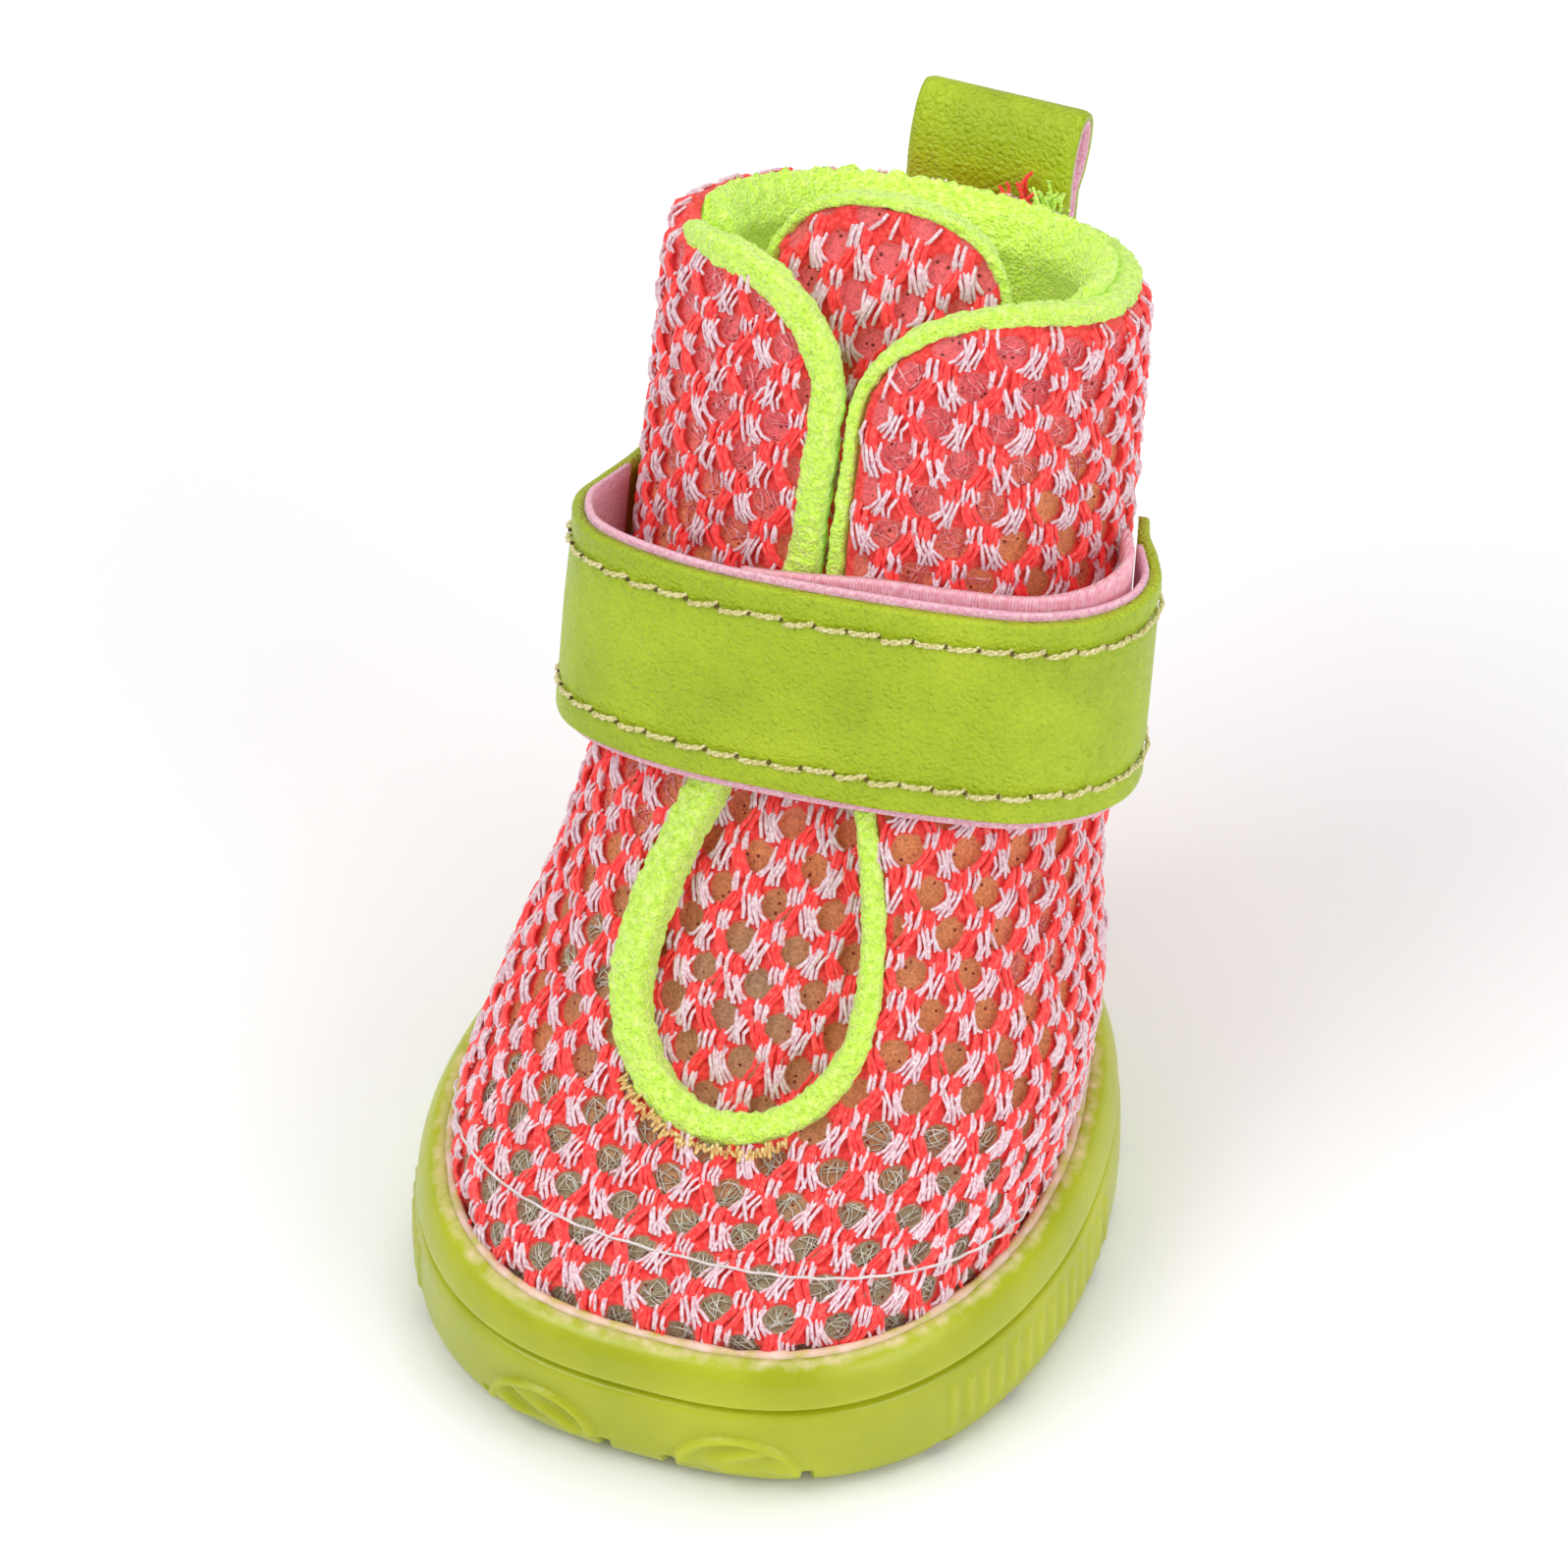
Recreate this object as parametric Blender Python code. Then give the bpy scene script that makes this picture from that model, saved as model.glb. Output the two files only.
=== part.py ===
"""Dog boot: cup sole, insole, hollow mesh upper with an open throat, tongue, edge tapes,
hook-and-loop strap in three layers, and a folded pull loop.

Frame: +Z up, the toe towards -Y, +X towards the wearer's left. The origin is on the floor under
the widest part of the sole. Lengths are in metres.
"""
import bpy
import bmesh
import math
from mathutils import Vector

MM = 0.001

# Clearances
FIT = 0.3 * MM               # between curved neighbours
SEAT = 0.3 * MM              # between a piece and what it lies on

# Sole
SOLE_TOE = 24.5 * MM         # from the widest station to the toe
SOLE_HEEL = 28.9 * MM        # from the widest station to the heel
SOLE_WIDTH = 46.0 * MM
SOLE_SIDE_SQUARENESS = 2.6   # exponents of the outline, 2 is an ellipse
SOLE_END_SQUARENESS = 2.0
WALL_HEIGHT = 7.2 * MM       # side wall, up to the parting groove
GROOVE_HEIGHT = 0.5 * MM
GROOVE_DEPTH = 0.6 * MM
RIM_HEIGHT = 10.8 * MM       # top of the lip band
FOOTBED_HEIGHT = 3.0 * MM    # inner floor of the cup
CUP_WALL = 2.4 * MM          # from the outline to the inside of the cup
TOE_SPRING = 0.9 * MM
SPRING_START = 13.0 * MM     # ahead of the origin
BOTTOM_EDGE = 1.5 * MM       # from the outline in to the flat of the bottom
LIP_STEP = 0.3 * MM          # how far the wall draws in at the parting groove
ROUNDING = 0.1 * MM          # unit in which the profile's small roundings are given
ARCH_RISE = 0.6 * MM

# Tread and side detail of the sole
LUG_HEIGHT = 1.1 * MM
TREAD_GROOVE = 1.5 * MM
LUG_PITCH = 6.2 * MM
FIRST_GROOVE = 15.5 * MM     # ahead of the origin
GROOVES = (0, 1, 3, 5)       # pitches behind the first one
ARCH_PITCHES = 4             # the arch takes the place of the groove between the last two
ARCH_LAND = 1.25 * MM        # flat left between the arch and a groove
ARCH_CENTRE = ARCH_PITCHES * LUG_PITCH - FIRST_GROOVE
ARCH_HALF_LENGTH = LUG_PITCH - TREAD_GROOVE / 2 - ARCH_LAND
PAD_RADIUS = 4.2 * MM        # half-round pads at the toe's bottom edge
PAD_ANGLE = 12.4             # degrees from the toe, on each side
PAD_PROUD = 0.25 * MM
PAD_SLOPE = 0.55 * MM        # how far its foot lies back
PAD_FOOT = 0.9 * MM          # height of a pad's flat edge
PAD_ROOT = 2.5 * MM          # how deep it starts inside the wall
SLIT_WIDTH = 0.6 * MM        # slits at each side of a pad
SLIT_HEIGHT = 1.5 * MM
SLIT_DEPTH = 0.9 * MM
RIB_RADIUS = 0.45 * MM
RIB_PROUD = 0.2 * MM
RIB_FIRST = 52.0             # degrees from the toe
RIB_LAST = 100.0
RIB_COUNT = 14
RIB_FOOT = 1.9 * MM
RIB_TOP = 6.2 * MM

# Insole
INSOLE_THICKNESS = 1.6 * MM

# Upper
WALL = 2.0 * MM              # padded mesh
UPPER_LENGTH = SOLE_TOE + SOLE_HEEL - 2 * (CUP_WALL + FIT)
BALL_WIDTH = SOLE_WIDTH - 2 * (CUP_WALL + FIT)
SHAFT_HEIGHT = 68.0 * MM     # floor to where the flaps' corners end
LAST_END_SQUARENESS = 2.1

# Throat
THROAT_HALF_WIDTH = 8.8 * MM
THROAT_START = 14.8 * MM     # along the front centre line, from the rim
THROAT_ROUND = 8.5 * MM      # length of the round end
SLIT_HALF_WIDTH = 1.6 * MM
CORNER_WIDTH = 12.5 * MM     # the flaps' round top corners
CORNER_HEIGHT = 9.8 * MM

# Edge tape
TAPE_WIDTH = 1.3 * MM
TAPE_THICKNESS = 2.6 * MM
COLLAR_TAPE_WIDTH = 1.3 * MM
COLLAR_TAPE_THICKNESS = 1.9 * MM
EDGE_SIDE = -1               # the tape lies on this side of its path, seen along it from outside

# Tongue
TONGUE_THICKNESS = 1.8 * MM
TONGUE_HALF_WIDTH = 12.0 * MM
TONGUE_ROUND = 8.5 * MM      # height of its round top
TONGUE_ABOVE_COLLAR = 3.4 * MM
TONGUE_UNDER_VAMP = 5.0 * MM  # how far it reaches under the vamp, past the throat
TONGUE_LEAN_FROM = 0.62      # share of the front line from which it leans in
TONGUE_LEAN_IN = 3.6 * MM    # at the collar
TONGUE_TAPE_WIDTH = 1.5 * MM
TONGUE_TAPE_THICKNESS = 2.4 * MM

# Strap
STRAP_WIDTH = 15.0 * MM
STRAP_THICKNESS = 0.8 * MM
BACKING_THICKNESS = 0.5 * MM
BACKING_EDGE = 0.4 * MM      # felt that shows past each edge of the strap
STRAP_INSIDE = 0.7 * MM      # its ring's unit of width is that much less than half the ball's
STRAP_HALF_SPAN = BALL_WIDTH / 2 - STRAP_INSIDE
STRAP_REACH = 49 / 120 * UPPER_LENGTH       # its ring's unit of length
STRAP_CENTRE_BACK = 0.458 * UPPER_LENGTH    # of its ring, behind the origin
STRAP_CENTRE_HEIGHT = 0.6 * SHAFT_HEIGHT
STRAP_LEAN = 13.5            # degrees
STRAP_END_FLARE = 0.45 * MM  # its sewn ends follow the shaft, which widens downwards
BACKING_FROM = -0.64         # places along the ring, -1 and 1 at its sewn ends
BACKING_TO = 0.77
UNDER_STRAP_THICKNESS = 0.6 * MM
UNDER_STRAP_RISE = 1.4 * MM  # how far it sits above the strap's own line
UNDER_STRAP_FROM = -0.12
UNDER_STRAP_TO = 0.80

# Pull loop
LOOP_WIDTH = 11.6 * MM
LOOP_THICKNESS = 1.1 * MM
LOOP_HEIGHT = 5.4 * MM       # above the collar
LOOP_LEG = 7.0 * MM          # sewn to the back of the shaft, below the collar
LOOP_BULGE = 1.7 * MM
LOOP_LEAN = 33.0             # degrees

# Sections of the last, from the hem inside the cup to the collar. Lengthwise columns are shares of
# UPPER_LENGTH ahead of the origin, heights are shares of SHAFT_HEIGHT, widths are shares of half
# the BALL_WIDTH. Each section is a flat oval through its front and back points.
SECTION_COLUMNS = ("front", "front_z", "back", "back_z", "middle", "width", "squareness")
SECTIONS = (
    ("hem",        (0.452, 0.050, -0.544, 0.050, 0.000, 0.985, 2.55)),
    ("rim",        (0.452, 0.159, -0.544, 0.159, 0.000, 0.985, 2.55)),
    ("toe_top",    (0.410, 0.196, -0.560, 0.190, -0.030, 0.995, 2.50)),
    ("vamp_low",   (0.300, 0.222, -0.578, 0.214, -0.090, 0.985, 2.40)),
    ("vamp",       (0.180, 0.265, -0.597, 0.248, -0.165, 0.965, 2.35)),
    ("instep",     (0.070, 0.365, -0.640, 0.330, -0.270, 0.880, 2.30)),
    ("ankle",      (-0.055, 0.475, -0.700, 0.430, -0.375, 0.845, 2.30)),
    ("strap_low",  (-0.145, 0.570, -0.745, 0.515, -0.430, 0.815, 2.40)),
    ("strap_high", (-0.222, 0.735, -0.815, 0.660, -0.490, 0.800, 2.50)),
    ("shaft",      (-0.290, 0.865, -0.860, 0.760, -0.530, 0.795, 2.50)),
    ("collar",     (-0.385, 1.030, -0.900, 0.865, -0.570, 0.785, 2.45)),
)
RIM_SECTION = 1

# The strap seen along its ring's axis, from the end that is sewn on the shaft's right side (-X) over
# the front to the other end: to the side and ahead, in shares of STRAP_HALF_SPAN and
# of STRAP_REACH. It stands off at each side.
RING = (
    (-0.900, -0.100),
    (-0.902, 0.020),
    (-0.908, 0.153),
    (-0.926, 0.320),
    (-0.940, 0.490),
    (-0.893, 0.653),
    (-0.796, 0.786),
    (-0.622, 0.872),
    (-0.357, 0.913),
    (-0.051, 0.898),
    (0.255, 0.857),
    (0.561, 0.796),
    (0.796, 0.719),
    (0.969, 0.577),
    (1.061, 0.398),
    (1.066, 0.214),
    (1.005, 0.051),
    (0.940, -0.080),
    (0.912, -0.200),
)

# Mesh densities
INSOLE_AROUND = 44
UPPER_COLUMNS = 36
ROWS_BELOW_THROAT = 8
SOLE_AROUND = 52


def clear_scene():
    for obj in list(bpy.data.objects):
        bpy.data.objects.remove(obj, do_unlink=True)


def material(name, colour, roughness):
    mat = bpy.data.materials.new(name)
    mat.use_nodes = True
    shader = mat.node_tree.nodes["Principled BSDF"]
    shader.inputs["Base Color"].default_value = (*colour, 1.0)
    shader.inputs["Roughness"].default_value = roughness
    shader.inputs["Metallic"].default_value = 0.0
    return mat


def add_object(name, verts, faces, mat, collection):
    """A mesh object whose faces all point out."""
    mesh = bpy.data.meshes.new(name)
    mesh.from_pydata([tuple(v) for v in verts], [], faces)
    bm = bmesh.new()
    bm.from_mesh(mesh)
    bmesh.ops.recalc_face_normals(bm, faces=bm.faces)
    bm.to_mesh(mesh)
    bm.free()
    obj = bpy.data.objects.new(name, mesh)
    if mat:
        mesh.materials.append(mat)
    collection.objects.link(obj)
    mesh.shade_smooth()
    mesh.set_sharp_from_angle(angle=math.radians(40))
    return obj


def ring_faces(rings, around, close_rings):
    """Quads between successive rings of as many points, which may close on the first ring."""
    faces = []
    last = rings if close_rings else rings - 1
    for i in range(last):
        j = (i + 1) % rings
        for k in range(around):
            n = (k + 1) % around
            faces.append((i * around + k, i * around + n, j * around + n, j * around + k))
    return faces


def closed_loft(name, rings, mat, collection):
    """A body that closes both around and end to end, such as a closed tape."""
    verts = [p for ring in rings for p in ring]
    faces = ring_faces(len(rings), len(rings[0]), True)
    return add_object(name, verts, faces, mat, collection)


def capped_loft(name, rings, mat, collection):
    """A body through rings, with its first and last ring filled."""
    around = len(rings[0])
    verts = [p for ring in rings for p in ring]
    faces = ring_faces(len(rings), around, False)
    faces.append(tuple(range(around)))
    faces.append(tuple((len(rings) - 1) * around + k for k in range(around)))
    return add_object(name, verts, faces, mat, collection)


def power(value, exponent):
    return math.copysign(abs(value) ** exponent, value)


def cubic(values, position):
    """Smooth interpolation through a column of values; it runs straight on past its ends."""
    last = len(values) - 1
    if position <= 0.0:
        return values[0] + (values[1] - values[0]) * position
    if position >= last:
        return values[last] + (values[last] - values[last - 1]) * (position - last)
    i = int(position)
    t = position - i
    a = values[max(i - 1, 0)]
    b = values[i]
    c = values[i + 1]
    d = values[min(i + 2, last)]
    m0 = (c - a) / 2 if i > 0 else c - b
    m1 = (d - b) / 2 if i + 2 <= last else c - b
    t2 = t * t
    t3 = t2 * t
    return (2 * t3 - 3 * t2 + 1) * b + (t3 - 2 * t2 + t) * m0 + (3 * t2 - 2 * t3) * c + (t3 - t2) * m1


COLUMN = {key: [row[1][i] for row in SECTIONS] for i, key in enumerate(SECTION_COLUMNS)}
TOP = float(len(SECTIONS) - 1)


def last_point(angle, row):
    """Point of the upper's outer form: angle from the toe, in radians, and row of the table."""
    values = [cubic(COLUMN[key], row) for key in SECTION_COLUMNS]
    ahead, ahead_z, behind, behind_z, centre, width, squareness = values
    front = Vector((0.0, -ahead * UPPER_LENGTH, ahead_z * SHAFT_HEIGHT))
    back = Vector((0.0, -behind * UPPER_LENGTH, behind_z * SHAFT_HEIGHT))
    middle = front.lerp(back, (ahead - centre) / (ahead - behind))
    half_width = width * BALL_WIDTH / 2
    along = power(math.cos(angle), 2 / LAST_END_SQUARENESS)
    across = power(math.sin(angle), 2 / squareness)
    end = front if along > 0 else back
    point = middle + (end - middle) * abs(along)
    point.x = half_width * across
    return point


def last_normal(angle, row):
    """Outward normal of the form, by differences."""
    step = 0.02
    du = last_point(angle + step, row) - last_point(angle - step, row)
    dv = last_point(angle, row + step) - last_point(angle, row - step)
    normal = du.cross(dv)
    return normal.normalized()


def skin(angle, row, depth):
    """Point at a depth below the upper's outer form."""
    return last_point(angle, row) - last_normal(angle, row) * depth


def angle_at(x, row):
    """Angle from the toe at which a section reaches a distance x to its side."""
    half_width = cubic(COLUMN["width"], row) * BALL_WIDTH / 2
    across = min(abs(x) / half_width, 1.0)
    return math.copysign(math.asin(across ** (cubic(COLUMN["squareness"], row) / 2)), x)


def centre_line():
    """Rows and lengths along the front centre line, from the rim up."""
    steps = 400
    rows = [RIM_SECTION + (TOP + 1 - RIM_SECTION) * i / steps for i in range(steps + 1)]
    lengths = [0.0]
    for a, b in zip(rows, rows[1:]):
        lengths.append(lengths[-1] + (last_point(0.0, b) - last_point(0.0, a)).length)
    return rows, lengths


LINE_ROWS, LINE_LENGTHS = centre_line()


def row_at(length):
    """Row of the table at a length along the front centre line."""
    for i in range(1, len(LINE_ROWS)):
        if LINE_LENGTHS[i] >= length:
            share = (length - LINE_LENGTHS[i - 1]) / (LINE_LENGTHS[i] - LINE_LENGTHS[i - 1])
            return LINE_ROWS[i - 1] + (LINE_ROWS[i] - LINE_ROWS[i - 1]) * share
    return LINE_ROWS[-1]


def length_at(row):
    """Length along the front centre line at a row of the table."""
    for i in range(1, len(LINE_ROWS)):
        if LINE_ROWS[i] >= row:
            share = (row - LINE_ROWS[i - 1]) / (LINE_ROWS[i] - LINE_ROWS[i - 1])
            return LINE_LENGTHS[i - 1] + (LINE_LENGTHS[i] - LINE_LENGTHS[i - 1]) * share
    return LINE_LENGTHS[-1]


COLLAR_LENGTH = length_at(TOP)


def lower(angle, row, distance):
    """Row that lies a distance below another one on the form, at an angle."""
    step = 0.05
    rate = (last_point(angle, row) - last_point(angle, row - step)).length / step
    return row - distance / rate


def throat_half():
    """Right half of the mesh's throat edge, as (distance to the side, length from the rim)."""
    points = []
    round_steps = 7
    for i in range(round_steps + 1):
        a = math.pi / 2 * i / round_steps
        points.append((THROAT_HALF_WIDTH * math.sin(a), THROAT_START + THROAT_ROUND * (1 - math.cos(a))))
    start = THROAT_START + THROAT_ROUND
    end = COLLAR_LENGTH - CORNER_HEIGHT
    taper_steps = 9
    for i in range(1, taper_steps + 1):
        t = i / taper_steps
        ease = 0.5 - 0.5 * math.cos(math.pi * min(t / 0.8, 1.0))
        x = THROAT_HALF_WIDTH + (SLIT_HALF_WIDTH - THROAT_HALF_WIDTH) * ease
        points.append((x, start + (end - start) * t))
    corner_steps = 6
    for i in range(1, corner_steps + 1):
        a = math.pi / 2 * i / corner_steps
        x = SLIT_HALF_WIDTH + CORNER_WIDTH * (1 - math.cos(a))
        points.append((x, end + CORNER_HEIGHT * math.sin(a)))
    return points


def mesh_edge(angle, row, share):
    """Row of the mesh's edge under the tape: the collar's tape stands above it."""
    return lower(angle, row, share * (COLLAR_TAPE_WIDTH + FIT))


def corner_share(length):
    """How far up the flaps' round corners a length along the front lies, from 0 to 1."""
    return min(max((length - (COLLAR_LENGTH - CORNER_HEIGHT)) / CORNER_HEIGHT, 0.0), 1.0)


def throat_edge():
    """Right half of the mesh's throat edge on the form, as (angle, row, share of collar tape)."""
    edge = []
    for x, length in throat_half():
        row = row_at(length)
        angle = angle_at(x, row)
        share = corner_share(length)
        edge.append((angle, mesh_edge(angle, row, share), share))
    return edge


def edge_path():
    """The mesh's whole free edge, closed: up the throat, round the collar and down again."""
    half = throat_edge()
    first = half[-1][0]
    collar_steps = 15
    for i in range(1, collar_steps + 1):
        angle = first + (math.pi - first) * i / collar_steps
        half.append((angle, mesh_edge(angle, TOP, 1.0), 1.0))
    mirrored = [(-a, row, share) for a, row, share in reversed(half[1:-1])]
    return half + mirrored


def oval(width, thickness, count):
    """Rounded section of a tape, as (along the surface, out of it) around its middle."""
    points = []
    for i in range(count):
        a = 2 * math.pi * i / count
        points.append((width / 2 * power(math.cos(a), 0.6), thickness / 2 * power(math.sin(a), 0.6)))
    return points


def outline(angle, inset):
    """Point of the sole's outline in plan, moved in by an inset along its normal."""
    def plain(a):
        reach = SOLE_TOE if math.cos(a) > 0 else SOLE_HEEL
        x = SOLE_WIDTH / 2 * power(math.sin(a), 2 / SOLE_SIDE_SQUARENESS)
        y = -reach * power(math.cos(a), 2 / SOLE_END_SQUARENESS)
        return Vector((x, y, 0.0))
    step = 0.01
    along = plain(angle + step) - plain(angle - step)
    out = Vector((-along.y, along.x, 0.0)).normalized()
    if out.dot(plain(angle)) < 0:
        out = -out
    return plain(angle) - out * inset


def bottom_lift(point):
    """Rise of the sole's bottom at the toe."""
    past = max(0.0, -point.y - SPRING_START)
    return TOE_SPRING * (past / (SOLE_TOE - SPRING_START)) ** 2


def sole_profile():
    """Side of the sole as (inset, height), from its bottom edge over the lip to the footbed."""
    groove_low = WALL_HEIGHT
    groove_high = WALL_HEIGHT + GROOVE_HEIGHT
    lip = RIM_HEIGHT - groove_high
    inner = CUP_WALL
    return (
        (BOTTOM_EDGE, 0.0),
        (6 * ROUNDING, 4 * ROUNDING),
        (ROUNDING, 17 * ROUNDING),
        (0.0, WALL_HEIGHT * 0.6),
        (LIP_STEP, groove_low - ROUNDING),
        (LIP_STEP + GROOVE_DEPTH, groove_low + ROUNDING),
        (LIP_STEP + GROOVE_DEPTH, groove_high - ROUNDING),
        (2 * ROUNDING, groove_high + 1.5 * ROUNDING),
        (3.5 * ROUNDING, groove_high + lip * 0.55),
        (8 * ROUNDING, groove_high + lip * 0.88),
        (14 * ROUNDING, RIM_HEIGHT),
        (inner - 2 * ROUNDING, RIM_HEIGHT - ROUNDING),
        (inner, RIM_HEIGHT - 5 * ROUNDING),
        (inner, FOOTBED_HEIGHT + 4 * ROUNDING),
        (inner + 4 * ROUNDING, FOOTBED_HEIGHT),
    )


def sole_angles():
    return [2 * math.pi * (i + 0.5) / SOLE_AROUND for i in range(SOLE_AROUND)]


def build_sole(mat, collection, cutters):
    rings = []
    angles = sole_angles()
    for share in (0.25, 0.55, 0.8):
        ring = []
        for a in angles:
            p = outline(a, BOTTOM_EDGE) * share
            ring.append(Vector((p.x, p.y, bottom_lift(p))))
        rings.append(ring)
    for inset, height in sole_profile():
        ring = []
        for a in angles:
            p = outline(a, inset)
            fade = max(0.0, 1.0 - height / WALL_HEIGHT)
            ring.append(Vector((p.x, p.y, height + bottom_lift(p) * fade)))
        rings.append(ring)
    for share in (0.6, 0.25):
        rings.append([Vector((outline(a, CUP_WALL).x * share, outline(a, CUP_WALL).y * share, FOOTBED_HEIGHT))
                      for a in angles])
    sole = capped_loft("outsole", rings, mat, collection)
    add_boolean(sole, sole_additions(cutters), "UNION")
    add_boolean(sole, sole_cuts(cutters), "DIFFERENCE")
    return sole


def add_boolean(obj, tool, operation):
    tool.hide_render = True
    tool.display_type = "WIRE"
    modifier = obj.modifiers.new(operation.lower(), "BOOLEAN")
    modifier.operation = operation
    modifier.solver = "EXACT"
    modifier.object = tool


def outward(angle):
    return (outline(angle, 0.0) - outline(angle, 1.0 * MM)).normalized()


def prism(verts, faces, low, high):
    """Adds a prism between two outlines of as many points."""
    base = len(verts)
    count = len(low)
    verts.extend(low)
    verts.extend(high)
    for i in range(count):
        n = (i + 1) % count
        faces.append((base + i, base + n, base + count + n, base + count + i))
    faces.append(tuple(base + i for i in reversed(range(count))))
    faces.append(tuple(base + count + i for i in range(count)))


def sole_additions(cutters):
    """Half-round toe pads and the ribs of the side wall, each rooted in the wall."""
    verts = []
    faces = []
    for side in (-1, 1):
        angle = side * math.radians(PAD_ANGLE)
        out = outward(angle)
        along = Vector((-out.y, out.x, 0.0))
        centre = outline(angle, 0.0)
        floor = bottom_lift(centre) + PAD_FOOT
        steps = 14
        rim = []
        for i in range(steps + 1):
            a = math.pi * i / steps
            rim.append((math.cos(a) * PAD_RADIUS, floor + math.sin(a) * (PAD_RADIUS - PAD_FOOT)))
        low = [centre - out * PAD_ROOT + along * x + Vector((0, 0, z)) for x, z in rim]
        high = []
        for x, z in rim:
            back = PAD_SLOPE * max(0.0, 1.0 - (z - floor) / (1.0 * MM))
            high.append(centre + out * (PAD_PROUD - back) + along * x * 0.94 + Vector((0, 0, z)))
        prism(verts, faces, low, high)
        for i in range(RIB_COUNT):
            angle = side * math.radians(RIB_FIRST + (RIB_LAST - RIB_FIRST) * i / (RIB_COUNT - 1))
            out = outward(angle)
            along = Vector((-out.y, out.x, 0.0))
            centre = outline(angle, RIB_RADIUS - RIB_PROUD)
            ring = [out * math.cos(a) * RIB_RADIUS + along * math.sin(a) * RIB_RADIUS
                    for a in (2 * math.pi * k / 6 for k in range(6))]
            low = [centre + r + Vector((0, 0, RIB_FOOT)) for r in ring]
            high = [centre + r + Vector((0, 0, RIB_TOP)) for r in ring]
            prism(verts, faces, low, high)
    return add_object("pads_and_ribs", verts, faces, None, cutters)


def block(verts, faces, centre, along, half_length, half_width, low, high):
    """Adds an upright block to a cutter."""
    across = Vector((-along.y, along.x, 0.0))
    corners = [centre + along * half_length * s + across * half_width * t
               for s, t in ((-1, -1), (1, -1), (1, 1), (-1, 1))]
    prism(verts, faces, [c + Vector((0, 0, low)) for c in corners], [c + Vector((0, 0, high)) for c in corners])


def sole_cuts(cutters):
    """Arch, grooves between the main lugs, and the slits beside the toe pads."""
    verts = []
    faces = []
    across = Vector((1.0, 0.0, 0.0))
    below = -1.0 * MM
    arch = []
    steps = 10
    for i in range(steps + 1):
        place = 2 * i / steps - 1
        rise = ARCH_RISE * (0.5 + 0.5 * math.cos(math.pi * place)) if abs(place) < 1 else -0.1 * MM
        arch.append(Vector((0.0, ARCH_CENTRE + ARCH_HALF_LENGTH * place, rise)))
    arch.append(Vector((0.0, ARCH_CENTRE + ARCH_HALF_LENGTH, below)))
    arch.append(Vector((0.0, ARCH_CENTRE - ARCH_HALF_LENGTH, below)))
    prism(verts, faces, [p - across * SOLE_WIDTH for p in arch], [p + across * SOLE_WIDTH for p in arch])
    for pitches in GROOVES:
        centre = Vector((0.0, pitches * LUG_PITCH - FIRST_GROOVE, 0.0))
        top = bottom_lift(centre) + LUG_HEIGHT
        block(verts, faces, centre, across, SOLE_WIDTH, TREAD_GROOVE / 2, below, top)
    pad_half = math.degrees(PAD_RADIUS / SOLE_TOE) * 1.12
    for side in (-1, 1):
        for turn in (-1, 1):
            angle = side * math.radians(PAD_ANGLE) + turn * math.radians(pad_half)
            if abs(angle) < math.radians(3):
                continue
            out = outward(angle)
            centre = outline(angle, 0.0)
            block(verts, faces, centre, out, SLIT_DEPTH, SLIT_WIDTH / 2, below, SLIT_HEIGHT)
    return add_object("tread_cuts", verts, faces, None, cutters)


def build_insole(mat, collection):
    """Foam footbed inside the upper's wall, with a round upper edge."""
    low = FOOTBED_HEIGHT + SEAT
    inset = CUP_WALL + WALL + 3 * FIT
    rows = (
        (inset + 0.2 * MM, low),
        (inset, low + 0.3 * MM),
        (inset, low + INSOLE_THICKNESS - 0.4 * MM),
        (inset + 0.5 * MM, low + INSOLE_THICKNESS),
    )
    rings = []
    for extra, height in rows:
        ring = []
        for i in range(INSOLE_AROUND):
            p = outline(2 * math.pi * i / INSOLE_AROUND, extra)
            ring.append(Vector((p.x, p.y, height)))
        rings.append(ring)
    return capped_loft("insole", rings, mat, collection)


def upper_rows():
    """Rows of the upper's wall from the hem up, as (edge angle, row, share of collar tape)."""
    first = row_at(THROAT_START)
    rows = [(0.0, first * i / ROWS_BELOW_THROAT, 0.0) for i in range(ROWS_BELOW_THROAT)]
    for x, length in throat_half():
        row = row_at(length)
        share = corner_share(length)
        rows.append((angle_at(x, row), row, share))
    return rows


def build_upper(mat, collection):
    """Hollow upper: a wall of even thickness, slit down its front from the throat's round end."""
    rows = upper_rows()
    tip = ROWS_BELOW_THROAT
    columns = UPPER_COLUMNS
    verts = []
    index = {}
    for layer, depth in enumerate((0.0, WALL)):
        for i, (edge, row, share) in enumerate(rows):
            for j in range(columns + 1):
                if j == columns and i <= tip:
                    index[layer, i, j] = index[layer, i, 0]
                    continue
                angle = edge + (2 * math.pi - 2 * edge) * j / columns
                wrapped = math.atan2(math.sin(angle), math.cos(angle))
                index[layer, i, j] = len(verts)
                verts.append(skin(wrapped, mesh_edge(wrapped, row, share), depth))
    faces = []
    last = len(rows) - 1
    for layer in (0, 1):
        for i in range(last):
            for j in range(columns):
                corners = ((i, j), (i, j + 1), (i + 1, j + 1), (i + 1, j))
                faces.append([index[layer, row, column] for row, column in corners])
    for j in range(columns):
        for i in (0, last):
            faces.append((index[0, i, j], index[0, i, j + 1], index[1, i, j + 1], index[1, i, j]))
    for i in range(tip, last):
        for j in (0, columns):
            faces.append((index[0, i, j], index[0, i + 1, j], index[1, i + 1, j], index[1, i, j]))
    return add_object("upper", verts, faces, mat, collection)


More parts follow.
